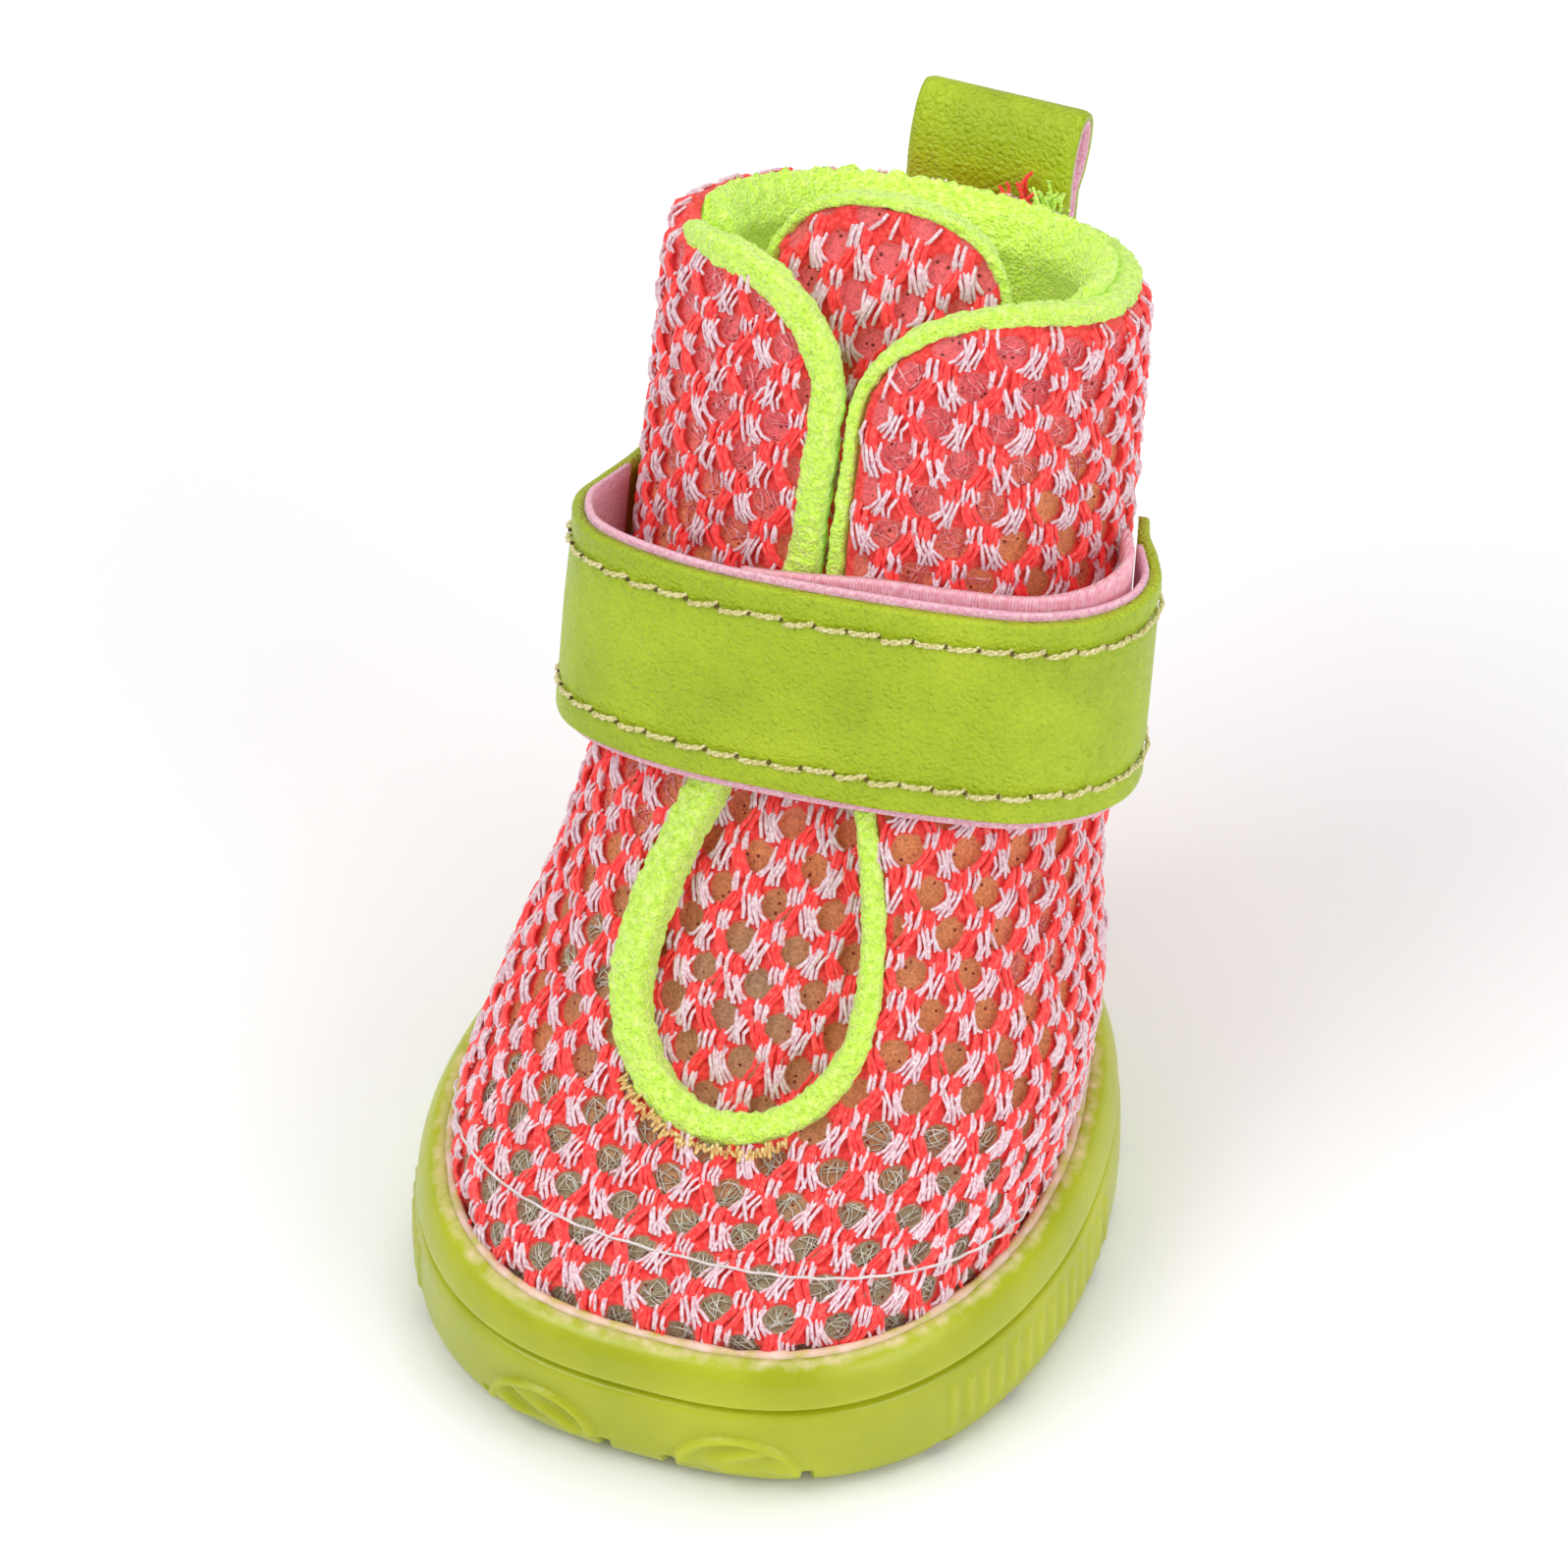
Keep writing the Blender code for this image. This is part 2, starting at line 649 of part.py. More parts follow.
def sweep(points, normals, sections, closed):
    """Rings of a tape along a path: each section is set square to the path."""
    rings = []
    count = len(points)
    for i, (p, normal, section) in enumerate(zip(points, normals, sections)):
        before = points[(i - 1) % count] if closed or i > 0 else p
        after = points[(i + 1) % count] if closed or i < count - 1 else p
        tangent = (after - before).normalized()
        side = tangent.cross(normal).normalized()
        lift = side.cross(tangent).normalized()
        rings.append([p + side * s + lift * n for s, n in section])
    return rings


def build_edge_binding(mat, collection):
    """One tape along the whole free edge of the mesh: both flaps, the throat's end and the collar."""
    points = []
    normals = []
    sections = []
    for angle, edge_row, share in edge_path():
        width = TAPE_WIDTH + (COLLAR_TAPE_WIDTH - TAPE_WIDTH) * share
        thickness = TAPE_THICKNESS + (COLLAR_TAPE_THICKNESS - TAPE_THICKNESS) * share
        points.append(skin(angle, edge_row, WALL / 2))
        normals.append(last_normal(angle, edge_row))
        sections.append([(EDGE_SIDE * (s + FIT + width / 2), n) for s, n in oval(width, thickness, 8)])
    return closed_loft("edge_binding", sweep(points, normals, sections, True), mat, collection)


def tongue_depth(length):
    """Depth of the tongue's outer face below the form: it leans in towards the collar."""
    start = COLLAR_LENGTH * TONGUE_LEAN_FROM
    share = max(0.0, (length - start) / (COLLAR_LENGTH - start))
    return WALL + 2 * FIT + TONGUE_LEAN_IN * share * share


def tongue_half_width(length, inset):
    """Half the tongue's width, round at its top."""
    top = COLLAR_LENGTH + TONGUE_ABOVE_COLLAR - inset
    width = TONGUE_HALF_WIDTH - inset
    from_round = (length - (top - TONGUE_ROUND)) / TONGUE_ROUND
    if from_round <= 0.0:
        return width
    return width * math.sqrt(max(0.0, 1.0 - from_round ** 2.8))


def tongue_lengths(inset):
    """Stations along the tongue, closer at its round top."""
    start = THROAT_START - TONGUE_UNDER_VAMP
    top = COLLAR_LENGTH + TONGUE_ABOVE_COLLAR - inset
    straight = [start + (top - TONGUE_ROUND - start) * i / 15 for i in range(16)]
    rounded = [top - TONGUE_ROUND * (1 - math.sin(math.pi / 2 * i / 6)) for i in range(1, 6)]
    return straight + rounded + [top - TONGUE_ROUND * 0.012]


def build_tongue(mat, collection):
    """Padded mesh sheet under the throat."""
    across = 9
    inset = TONGUE_TAPE_WIDTH + 2 * FIT
    rings = []
    for length in tongue_lengths(inset):
        row = row_at(length)
        half = tongue_half_width(length, inset)
        depth = tongue_depth(length)
        angles = [angle_at(half * (2 * k / (across - 1) - 1), row) for k in range(across)]
        outer = [skin(a, row, depth) for a in angles]
        inner = [skin(a, row, depth + TONGUE_THICKNESS) for a in reversed(angles)]
        rings.append(outer + inner)
    return capped_loft("tongue", rings, mat, collection)


def build_tongue_binding(mat, collection):
    """Tape round the tongue's top, down to the strap on both sides."""
    top = COLLAR_LENGTH + TONGUE_ABOVE_COLLAR
    middle = TONGUE_TAPE_WIDTH / 2
    half = []
    for length in tongue_lengths(middle):
        if length > top - TONGUE_ROUND * 1.9:
            half.append((tongue_half_width(length, middle), length))
    crown = half.pop()
    path = half + [(0.0, crown[1])] + [(-x, length) for x, length in reversed(half)]
    points = []
    normals = []
    for x, length in path:
        row = row_at(length)
        angle = angle_at(x, row)
        points.append(skin(angle, row, tongue_depth(length) + TONGUE_THICKNESS / 2))
        normals.append(last_normal(angle, row))
    section = oval(TONGUE_TAPE_WIDTH, TONGUE_TAPE_THICKNESS, 8)
    rings = sweep(points, normals, [section] * len(points), False)
    return capped_loft("tongue_binding", rings, mat, collection)


def strap_frame():
    """Centre, forward direction and upward direction of the strap's ring."""
    lean = math.radians(STRAP_LEAN)
    centre = Vector((0.0, STRAP_CENTRE_BACK, STRAP_CENTRE_HEIGHT))
    forward = Vector((0.0, -math.cos(lean), math.sin(lean)))
    up = Vector((0.0, math.sin(lean), math.cos(lean)))
    return centre, forward, up


def ring_plan(place):
    """Point of the strap in its ring's plane: places -1 and 1 are its ends."""
    position = (place + 1.0) / 2 * (len(RING) - 1)
    units = (STRAP_HALF_SPAN, STRAP_REACH)
    return Vector([cubic([row[axis] for row in RING], position) * units[axis] for axis in range(2)])


def strap_point(place, depth, rise):
    """Point of the strap's ring: place round it, depth under its face, rise along its width."""
    centre, forward, up = strap_frame()
    step = 0.01
    along = ring_plan(place + step) - ring_plan(place - step)
    out = Vector((-along.y, along.x)).normalized()
    if out.dot(ring_plan(place)) < 0:
        out = -out
    flare = STRAP_END_FLARE * rise / (STRAP_WIDTH / 2) * place ** 6
    p = ring_plan(place) - out * (depth + flare)
    return centre + Vector((p.x, 0.0, 0.0)) + forward * p.y + up * rise


def band(name, places, depth_of, thickness, low, high, mat, collection):
    """A flat band along part of the strap's ring, with square ends."""
    rings = []
    soft = min(thickness * 0.3, 0.25 * MM)
    for place in places:
        depth = depth_of(place)
        section = (
            (depth + soft, high),
            (depth, high - soft),
            (depth, low + soft),
            (depth + soft, low),
            (depth + thickness, low),
            (depth + thickness, high),
        )
        rings.append([strap_point(place, d, r) for d, r in section])
    return capped_loft(name, rings, mat, collection)


def strap_places(start, end, count):
    return [start + (end - start) * i / (count - 1) for i in range(count)]


def build_strap(mats, collection):
    """Strap, and the felt backing along the stretch that stands off the shaft."""
    half = STRAP_WIDTH / 2
    band("strap", strap_places(-0.998, 0.998, 57), lambda place: 0.0, STRAP_THICKNESS, -half, half,
         mats["strap"], collection)
    wide = half + BACKING_EDGE
    band("strap_backing", strap_places(BACKING_FROM, BACKING_TO, 45),
         lambda place: STRAP_THICKNESS + FIT, BACKING_THICKNESS, -wide, wide, mats["felt"], collection)


def build_under_strap(mat, collection):
    """Loop webbing between the strap and the shaft."""
    depth = STRAP_THICKNESS + FIT + BACKING_THICKNESS + FIT
    half = STRAP_WIDTH / 2
    places = strap_places(UNDER_STRAP_FROM, UNDER_STRAP_TO, 28)
    band("under_strap", places, lambda place: depth, UNDER_STRAP_THICKNESS,
         -half + UNDER_STRAP_RISE, half + UNDER_STRAP_RISE, mat, collection)


def build_pull_loop(mat, collection):
    """PU strip folded into a loop: its two legs lie on the back of the shaft."""
    leg_gap = FIT
    middle = LOOP_THICKNESS / 2
    leg = []
    leg_rows = 4
    for i in range(leg_rows + 1):
        row = lower(math.pi, TOP, LOOP_LEG * (1 - i / leg_rows))
        leg.append((last_point(math.pi, row), last_normal(math.pi, row)))
    base, out = leg[-1]
    lean = math.radians(LOOP_LEAN)
    up = Vector((0.0, math.sin(lean), math.cos(lean)))
    away = Vector((0.0, math.cos(lean), -math.sin(lean)))
    near = [p + n * (SEAT + middle) for p, n in leg]
    far = [p + n * (SEAT + middle + LOOP_THICKNESS + leg_gap) for p, n in leg]
    round_steps = 10
    start = near[-1]
    spread = (far[-1] - near[-1]).length
    crown = []
    for i in range(1, round_steps + 6):
        t = i / (round_steps + 6)
        a = math.pi * t
        rise = LOOP_HEIGHT * math.sin(a) ** 0.8
        shift = spread * t + LOOP_BULGE * (-math.cos(a)) * math.sin(a) ** 0.6
        crown.append(start + up * rise + away * shift)
    centre = near + crown + list(reversed(far))
    outer = []
    inner = []
    for i, p in enumerate(centre):
        before = centre[max(i - 1, 0)]
        after = centre[min(i + 1, len(centre) - 1)]
        tangent = (after - before).normalized()
        side = Vector((0.0, -tangent.z, tangent.y))
        outer.append(p + side * middle)
        inner.append(p - side * middle)
    profile = outer + list(reversed(inner))
    half = Vector((LOOP_WIDTH / 2, 0.0, 0.0))
    verts = [p - half for p in profile] + [p + half for p in profile]
    count = len(profile)
    faces = [(i, (i + 1) % count, count + (i + 1) % count, count + i) for i in range(count)]
    pairs = len(outer)
    for i in range(pairs - 1):
        quad = (i, i + 1, count - 2 - i, count - 1 - i)
        faces.append(quad)
        faces.append(tuple(count + k for k in reversed(quad)))
    return add_object("pull_loop", verts, faces, mat, collection)


def main():
    clear_scene()
    parts = bpy.data.collections.new("dog_boot")
    cutters = bpy.data.collections.new("cutters")
    bpy.context.scene.collection.children.link(parts)
    bpy.context.scene.collection.children.link(cutters)
    mats = {
        "rubber": material("sole_rubber", (0.43, 0.52, 0.03), 0.35),
        "foam": material("insole_foam", (0.30, 0.30, 0.28), 0.9),
        "mesh": material("air_mesh", (1.0, 0.09, 0.06), 0.8),
        "tape": material("terry_tape", (0.55, 1.0, 0.08), 0.9),
        "strap": material("grained_pu", (0.38, 0.55, 0.03), 0.5),
        "felt": material("pink_felt", (0.76, 0.36, 0.50), 0.95),
    }
    build_sole(mats["rubber"], parts, cutters)
    build_insole(mats["foam"], parts)
    build_upper(mats["mesh"], parts)
    build_tongue(mats["mesh"], parts)
    build_edge_binding(mats["tape"], parts)
    build_tongue_binding(mats["tape"], parts)
    build_strap(mats, parts)
    build_under_strap(mats["felt"], parts)
    build_pull_loop(mats["strap"], parts)


main()
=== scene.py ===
# %% [markdown]
# # A small dog's boot in coral air mesh on a lime rubber cup sole
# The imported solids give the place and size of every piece. This lesson dresses them: a coarse
# two-colour knit with real yarns, terry edge tapes, a grained strap with stitches, and a moulded
# translucent sole.

# %% Load the frame
import math
import bmesh
import bpy
import numpy as np
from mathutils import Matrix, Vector


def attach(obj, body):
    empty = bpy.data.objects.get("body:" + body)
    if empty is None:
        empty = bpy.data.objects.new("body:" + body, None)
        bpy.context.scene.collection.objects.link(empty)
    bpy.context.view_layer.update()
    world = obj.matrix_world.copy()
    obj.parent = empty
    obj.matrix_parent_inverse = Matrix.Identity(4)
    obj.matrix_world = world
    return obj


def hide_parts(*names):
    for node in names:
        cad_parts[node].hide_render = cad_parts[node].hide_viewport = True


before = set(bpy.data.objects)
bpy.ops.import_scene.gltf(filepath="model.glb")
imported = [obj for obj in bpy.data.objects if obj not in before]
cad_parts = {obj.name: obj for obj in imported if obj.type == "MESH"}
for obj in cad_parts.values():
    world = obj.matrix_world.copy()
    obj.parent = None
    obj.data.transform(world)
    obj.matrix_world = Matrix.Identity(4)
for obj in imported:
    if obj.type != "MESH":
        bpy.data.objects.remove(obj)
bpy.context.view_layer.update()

MM = 0.001
random = np.random.default_rng(11)

# %% [markdown]
# The real upper is lasted: cloth is pulled over a form. The same form is written here as a table of
# flat oval sections, so that a yarn, a tape or a lining can be laid on it at any depth.

# %% The last
SOLE_TOE, SOLE_HEEL, SOLE_WIDTH = 24.5 * MM, 28.9 * MM, 46.0 * MM
CUP_WALL, FIT, WALL = 2.4 * MM, 0.3 * MM, 2.0 * MM
RIM_HEIGHT, WALL_HEIGHT, FOOTBED_HEIGHT = 10.8 * MM, 7.2 * MM, 3.0 * MM
UPPER_LENGTH = SOLE_TOE + SOLE_HEEL - 2 * (CUP_WALL + FIT)
BALL_WIDTH = SOLE_WIDTH - 2 * (CUP_WALL + FIT)
SHAFT_HEIGHT = 68.0 * MM
END_SQUARENESS = 2.1
# front, front height, back, back height, middle, width, squareness, from the hem to the collar
SECTIONS = np.array((
    (0.452, 0.050, -0.544, 0.050, 0.000, 0.985, 2.55),
    (0.452, 0.159, -0.544, 0.159, 0.000, 0.985, 2.55),
    (0.410, 0.196, -0.560, 0.190, -0.030, 0.995, 2.50),
    (0.300, 0.222, -0.578, 0.214, -0.090, 0.985, 2.40),
    (0.180, 0.265, -0.597, 0.248, -0.165, 0.965, 2.35),
    (0.070, 0.365, -0.640, 0.330, -0.270, 0.880, 2.30),
    (-0.055, 0.475, -0.700, 0.430, -0.375, 0.845, 2.30),
    (-0.145, 0.570, -0.745, 0.515, -0.430, 0.815, 2.40),
    (-0.222, 0.735, -0.815, 0.660, -0.490, 0.800, 2.50),
    (-0.290, 0.865, -0.860, 0.760, -0.530, 0.795, 2.50),
    (-0.385, 1.030, -0.900, 0.865, -0.570, 0.785, 2.45),
))
TOP = len(SECTIONS) - 1.0
RIM_ROW = 1.0  # the row at the sole's rim, where lengths up the front line start


def smooth(values, place):
    """Smooth interpolation through a column of values, straight on past its ends."""
    values, place = np.asarray(values, float), np.asarray(place, float)
    last = len(values) - 1
    i = np.clip(np.floor(place).astype(int), 0, last - 1)
    t = np.clip(place, 0, last) - i
    a, b = values[np.maximum(i - 1, 0)], values[i]
    c, d = values[i + 1], values[np.minimum(i + 2, last)]
    m0 = np.where(i > 0, (c - a) / 2, c - b)
    m1 = np.where(i + 2 <= last, (d - b) / 2, c - b)
    t2, t3 = t * t, t * t * t
    inside = (2 * t3 - 3 * t2 + 1) * b + (t3 - 2 * t2 + t) * m0 + (3 * t2 - 2 * t3) * c + (t3 - t2) * m1
    below = values[0] + (values[1] - values[0]) * place
    above = values[last] + (values[last] - values[last - 1]) * (place - last)
    return np.where(place < 0, below, np.where(place > last, above, inside))


def form(angle, row):
    """Points of the upper's outer form: angle from the toe in radians, row of the table."""
    angle, row = np.broadcast_arrays(np.asarray(angle, float), np.asarray(row, float))
    front, front_z, back, back_z, middle, width, square = [smooth(SECTIONS[:, k], row) for k in range(7)]
    share = (front - middle) / (front - back)
    cosine, sine = np.cos(angle), np.sin(angle)
    along = np.abs(cosine) ** (2 / END_SQUARENESS)
    ahead, height = front + (back - front) * share, front_z + (back_z - front_z) * share
    ahead = ahead + (np.where(cosine > 0, front, back) - ahead) * along
    height = height + (np.where(cosine > 0, front_z, back_z) - height) * along
    side = width * BALL_WIDTH / 2 * np.sign(sine) * np.abs(sine) ** (2 / square)
    return np.stack([side, -ahead * UPPER_LENGTH, height * SHAFT_HEIGHT], -1)


def unit(vectors):
    return vectors / np.maximum(np.linalg.norm(vectors, axis=-1, keepdims=True), 1e-12)


def form_normal(angle, row, step=0.02):
    du = form(angle + step, row) - form(angle - step, row)
    dv = form(angle, row + step) - form(angle, row - step)
    return unit(np.cross(du, dv))


def row_length(angle, row, step=0.05):
    """Length that one row of the table takes on the form, just below a point."""
    return np.linalg.norm(form(angle, row) - form(angle, row - step), axis=-1) / step


def skin(angle, row, depth):
    """Points at a depth below the form."""
    return form(angle, row) - form_normal(angle, row) * np.asarray(depth)[..., None]


def angle_at(x, row):
    """Angle at which a section reaches a distance x to its side."""
    half = smooth(SECTIONS[:, 5], row) * BALL_WIDTH / 2
    across = np.minimum(np.abs(x) / half, 1.0)
    return np.sign(x) * np.arcsin(across ** (smooth(SECTIONS[:, 6], row) / 2))


def path_length(points):
    """Length along a path at each of its points, from 0."""
    return np.concatenate([[0.0], np.cumsum(np.linalg.norm(np.diff(points, axis=0), axis=1))])


line_rows = np.linspace(RIM_ROW, TOP + 1.0, 900)
line_lengths = path_length(form(0.0, line_rows))


def row_at(length):
    return np.interp(length, line_lengths, line_rows)


def length_at(row):
    return np.interp(row, line_rows, line_lengths)


COLLAR_LENGTH = float(length_at(TOP))
print("front line", round(COLLAR_LENGTH / MM, 1), "mm from the sole to the collar")

# %% [markdown]
# Cloth has its own grid. Here u runs round the boot from the front's middle line and v runs down
# from the collar, both measured on the surface, so the knit keeps its size wherever it lies. The
# map is worked out once on a fine grid and then turned round, from (u, v) to (angle, row).

# %% The cloth's own grid
GRID_ANGLES = np.linspace(-math.pi, math.pi, 721)
PAST_COLLAR = 0.8  # rows that the grid goes on above the collar
GRID_ROWS = np.linspace(0.0, TOP + PAST_COLLAR, 325)
MIDDLE_COLUMN, COLLAR_LINE = 360, 300  # where the grid has the angle 0 and the row TOP
grid = form(GRID_ANGLES[None, :], GRID_ROWS[:, None])
steps_u = np.linalg.norm(np.diff(grid, axis=1), axis=2)
grid_u = np.concatenate([np.zeros((len(GRID_ROWS), 1)), np.cumsum(steps_u, axis=1)], axis=1)
grid_u -= grid_u[:, [MIDDLE_COLUMN]]
steps_v = np.linalg.norm(np.diff(grid, axis=0), axis=2)
grid_v = np.concatenate([np.zeros((1, len(GRID_ANGLES))), np.cumsum(steps_v, axis=0)], axis=0)
grid_v = grid_v[COLLAR_LINE] - grid_v
TABLE_STEP = 0.25 * MM
TABLE_U, TABLE_V = np.arange(-280, 281) * TABLE_STEP, np.arange(-16, 380) * TABLE_STEP
angle_of_u = np.array([np.interp(TABLE_U, grid_u[i], GRID_ANGLES) for i in range(len(GRID_ROWS))])
v_of_u = np.array([np.interp(angle_of_u[i], GRID_ANGLES, grid_v[i]) for i in range(len(GRID_ROWS))])
row_table = np.empty((len(TABLE_V), len(TABLE_U)))
angle_table = np.empty_like(row_table)
for j in range(len(TABLE_U)):
    row_table[:, j] = np.interp(TABLE_V, v_of_u[::-1, j], GRID_ROWS[::-1])
    angle_table[:, j] = np.interp(row_table[:, j], GRID_ROWS, angle_of_u[:, j])
print("cloth table", row_table.shape, "points")


def between(table, y, x):
    """Value of a table between its points: y and x are places along its two sides."""
    y = np.clip(y, 0, table.shape[0] - 1.001)
    x = np.clip(x, 0, table.shape[1] - 1.001)
    i, j = y.astype(int), x.astype(int)
    fy, fx = y - i, x - j
    upper = table[i, j] * (1 - fx) + table[i, j + 1] * fx
    lower = table[i + 1, j] * (1 - fx) + table[i + 1, j + 1] * fx
    return upper * (1 - fy) + lower * fy


def cloth_place(u, v):
    """Angle and row of a point of the cloth."""
    y, x = (v - TABLE_V[0]) / TABLE_STEP, (u - TABLE_U[0]) / TABLE_STEP
    return between(angle_table, y, x), between(row_table, y, x)


def cloth_grid(angle, row):
    """The cloth's u and v at a point of the form."""
    x = (angle + math.pi) / (2 * math.pi) * (len(GRID_ANGLES) - 1)
    y = row / (TOP + PAST_COLLAR) * (len(GRID_ROWS) - 1)
    return between(grid_u, y, x), between(grid_v, y, x)


# %% [markdown]
# The boot is slit down its front. The slit's edge is a short table of distance to the side against
# length along the front: a round end, a taper to a narrow gap, and round corners at the collar. A
# Boolean cut would leave a ragged edge through the knit; with a table the cloth's own rows end
# there, and the tape finds the same line again.

# %% The throat's edge
THROAT_HALF_WIDTH, THROAT_START, THROAT_ROUND = 8.8 * MM, 14.8 * MM, 8.5 * MM
SLIT_HALF_WIDTH, CORNER_WIDTH, CORNER_HEIGHT = 1.6 * MM, 12.5 * MM, 9.8 * MM
LEFT_CORNER_WIDTH = 9.0 * MM  # the flap on the image's left reaches further over the tongue
COLLAR_TAPE_WIDTH = 1.3 * MM


def throat_half(round_steps, taper_steps, corner_steps, corner_width=CORNER_WIDTH):
    """Distance to the side and length along the front, up one flap."""
    a = np.linspace(0, math.pi / 2, round_steps + 1)
    side = [THROAT_HALF_WIDTH * np.sin(a)]
    length = [THROAT_START + THROAT_ROUND * (1 - np.cos(a))]
    start, end = THROAT_START + THROAT_ROUND, COLLAR_LENGTH - CORNER_HEIGHT
    t = np.linspace(0, 1, taper_steps + 1)[1:]
    ease = 0.5 - 0.5 * np.cos(math.pi * np.minimum(t / 0.8, 1.0))
    side.append(THROAT_HALF_WIDTH + (SLIT_HALF_WIDTH - THROAT_HALF_WIDTH) * ease)
    length.append(start + (end - start) * t)
    a = np.linspace(0, math.pi / 2, corner_steps + 1)[1:]
    side.append(SLIT_HALF_WIDTH + corner_width * (1 - np.cos(a)))
    length.append(end + CORNER_HEIGHT * np.sin(a))
    return np.concatenate(side), np.concatenate(length)


def corner_share(length):
    """How far up the flaps' round corners a length lies, from 0 to 1."""
    return np.clip((length - (COLLAR_LENGTH - CORNER_HEIGHT)) / CORNER_HEIGHT, 0.0, 1.0)


def mesh_edge(angle, row, share):
    """Row of the cloth's edge under the tape."""
    return row - share * (COLLAR_TAPE_WIDTH + FIT) / row_length(angle, row)


flap_edges = throat_half(40, 60, 40), throat_half(40, 60, 40, LEFT_CORNER_WIDTH)
print("throat", 2 * THROAT_HALF_WIDTH / MM, "mm wide, slit", 2 * SLIT_HALF_WIDTH / MM, "mm")


def soft_step(value, low, high):
    t = np.clip((value - low) / (high - low), 0, 1)
    return t * t * (3 - 2 * t)


def edge_cover(angle):
    """Share of the tape's width that the cloth leaves free: little on the collar's left and back."""
    past_left = soft_step(angle, math.radians(-88), math.radians(-66))
    before_back = soft_step(-angle, math.radians(-176), math.radians(-130))
    return 0.05 + 0.6 * (past_left * before_back)


def from_edge(points, angle, row, v):
    """Distance of points of the upper from the cloth's free edge."""
    cover = edge_cover(angle) * (COLLAR_TAPE_WIDTH + FIT)
    length = length_at(row)
    length = length + cover * corner_share(length)
    gap, left_gap = [np.interp(length, at, sides, left=-1.0, right=sides[-1]) for sides, at in flap_edges]
    gap = np.where(points[..., 0] < 0, left_gap, gap)
    at_back = np.abs(angle) > math.pi / 2
    slit = np.where((length < THROAT_START) | at_back, 1.0, np.abs(points[..., 0]) - gap)
    return np.minimum(slit, v - cover)


ROUNDED_EDGE = 1.5 * MM


def edge_sink(distance, row):
    """How far the padded cloth rounds down at its free edge, most of all at the collar."""
    depth = (0.4 + 0.7 * corner_share(length_at(row))) * MM
    return depth * (1 - np.clip(distance / ROUNDED_EDGE, 0, 1)) ** 2


# %% [markdown]
# Small helpers: most of them turn arrays into mesh objects, and one is a smooth random field. The
# field is worked out from whole numbers, so it is the same at every run.

# %% Mesh and noise helpers
def add_piece(name, verts, faces, materials, face_material=None, attributes=None, edges=()):
    """A smooth mesh object from points with faces, or from points with edges alone."""
    mesh = bpy.data.meshes.new(name)
    mesh.from_pydata(np.asarray(verts).tolist(), edges, faces)
    for finish in materials:
        mesh.materials.append(finish.material)
    if face_material is not None:
        mesh.polygons.foreach_set("material_index", np.asarray(face_material, np.int32))
    for key, values in (attributes or {}).items():
        layer = mesh.attributes.new(key, "FLOAT", "POINT")
        layer.data.foreach_set("value", np.asarray(values, np.float32))
    mesh.shade_smooth()
    obj = bpy.data.objects.new(name, mesh)
    bpy.context.scene.collection.objects.link(obj)
    return obj


def turn_out(obj):
    """Turns a closed piece's faces outwards, and removes points that no face uses."""
    bm = bmesh.new()
    bm.from_mesh(obj.data)
    bmesh.ops.delete(bm, geom=[v for v in bm.verts if not v.link_faces], context="VERTS")
    bmesh.ops.recalc_face_normals(bm, faces=bm.faces)
    bm.to_mesh(obj.data)
    bm.free()
    return obj


def triangles(obj):
    return sum(len(p.vertices) - 2 for p in obj.data.polygons)


def open_edges(obj):
    """How many of a mesh's edges don't lie between just two faces."""
    edge_of = np.empty(len(obj.data.loops), np.int32)
    obj.data.loops.foreach_get("edge_index", edge_of)
    return int(np.sum(np.bincount(edge_of) != 2))


def field(points, scale, seed):
    """Smooth random field from -1 to 1, from a hash of the whole numbers round each point."""
    p = np.asarray(points) / scale
    cell = np.floor(p).astype(np.int64)
    f = p - cell
    f = f * f * (3 - 2 * f)
    total = 0.0
    for corner in np.ndindex(2, 2, 2):
        x, y, z = np.moveaxis(cell + corner, -1, 0)
        n = (x * 73856093 ^ y * 19349663 ^ z * 83492791 ^ (seed * 2654435761)) & 0xFFFFFFFF
        n = (n ^ (n >> 15)) * 2246822519 & 0xFFFFFFFF
        n = (n ^ (n >> 13)) * 3266489917 & 0xFFFFFFFF
        value = ((n ^ (n >> 16)) & 0xFFFF) / 32767.5 - 1
        a, b, c = np.moveaxis(np.where(corner, f, 1 - f), -1, 0)
        total = total + value * (a * b) * c
    return total


def ring_quads(rings, around, close):
    """Quads between successive rings of as many points."""
    i = np.arange(rings if close else rings - 1)[:, None]
    k = np.arange(around)[None, :]
    j, n = (i + 1) % rings, (k + 1) % around
    corners = np.broadcast_arrays(i * around + k, i * around + n, j * around + n, j * around + k)
    return np.stack(corners, -1).reshape(-1, 4).tolist()


def loft(name, rings, materials, close=False, caps=True, attributes=None):
    """A piece through an array of rings, with its ends filled unless it closes on itself."""
    rings = np.asarray(rings)
    count, around = rings.shape[:2]
    print(name, count, "rings of", around, "points")
    faces = ring_quads(count, around, close)
    if caps and not close:
        faces.append(list(range(around)))
        faces.append([(count - 1) * around + k for k in range(around)])
    return turn_out(add_piece(name, rings.reshape(-1, 3), faces, materials, attributes=attributes))


# %% [markdown]
# Materials. Dyed yarn, terry, grained synthetic leather, felt and soft rubber scatter light in
# different ways. Each one gets its colour in two or three tones from noise, and its fine relief
# from a bump chain, all in object coordinates, so the pattern keeps its real size.

# %% Material helpers
def srgb(red, green, blue):
    """Display colour from 0 to 255 as the light values that shaders use."""
    channel = [c / 255 for c in (red, green, blue)]
    return tuple(c / 12.92 if c <= 0.04045 else ((c + 0.055) / 1.055) ** 2.4 for c in channel) + (1.0,)


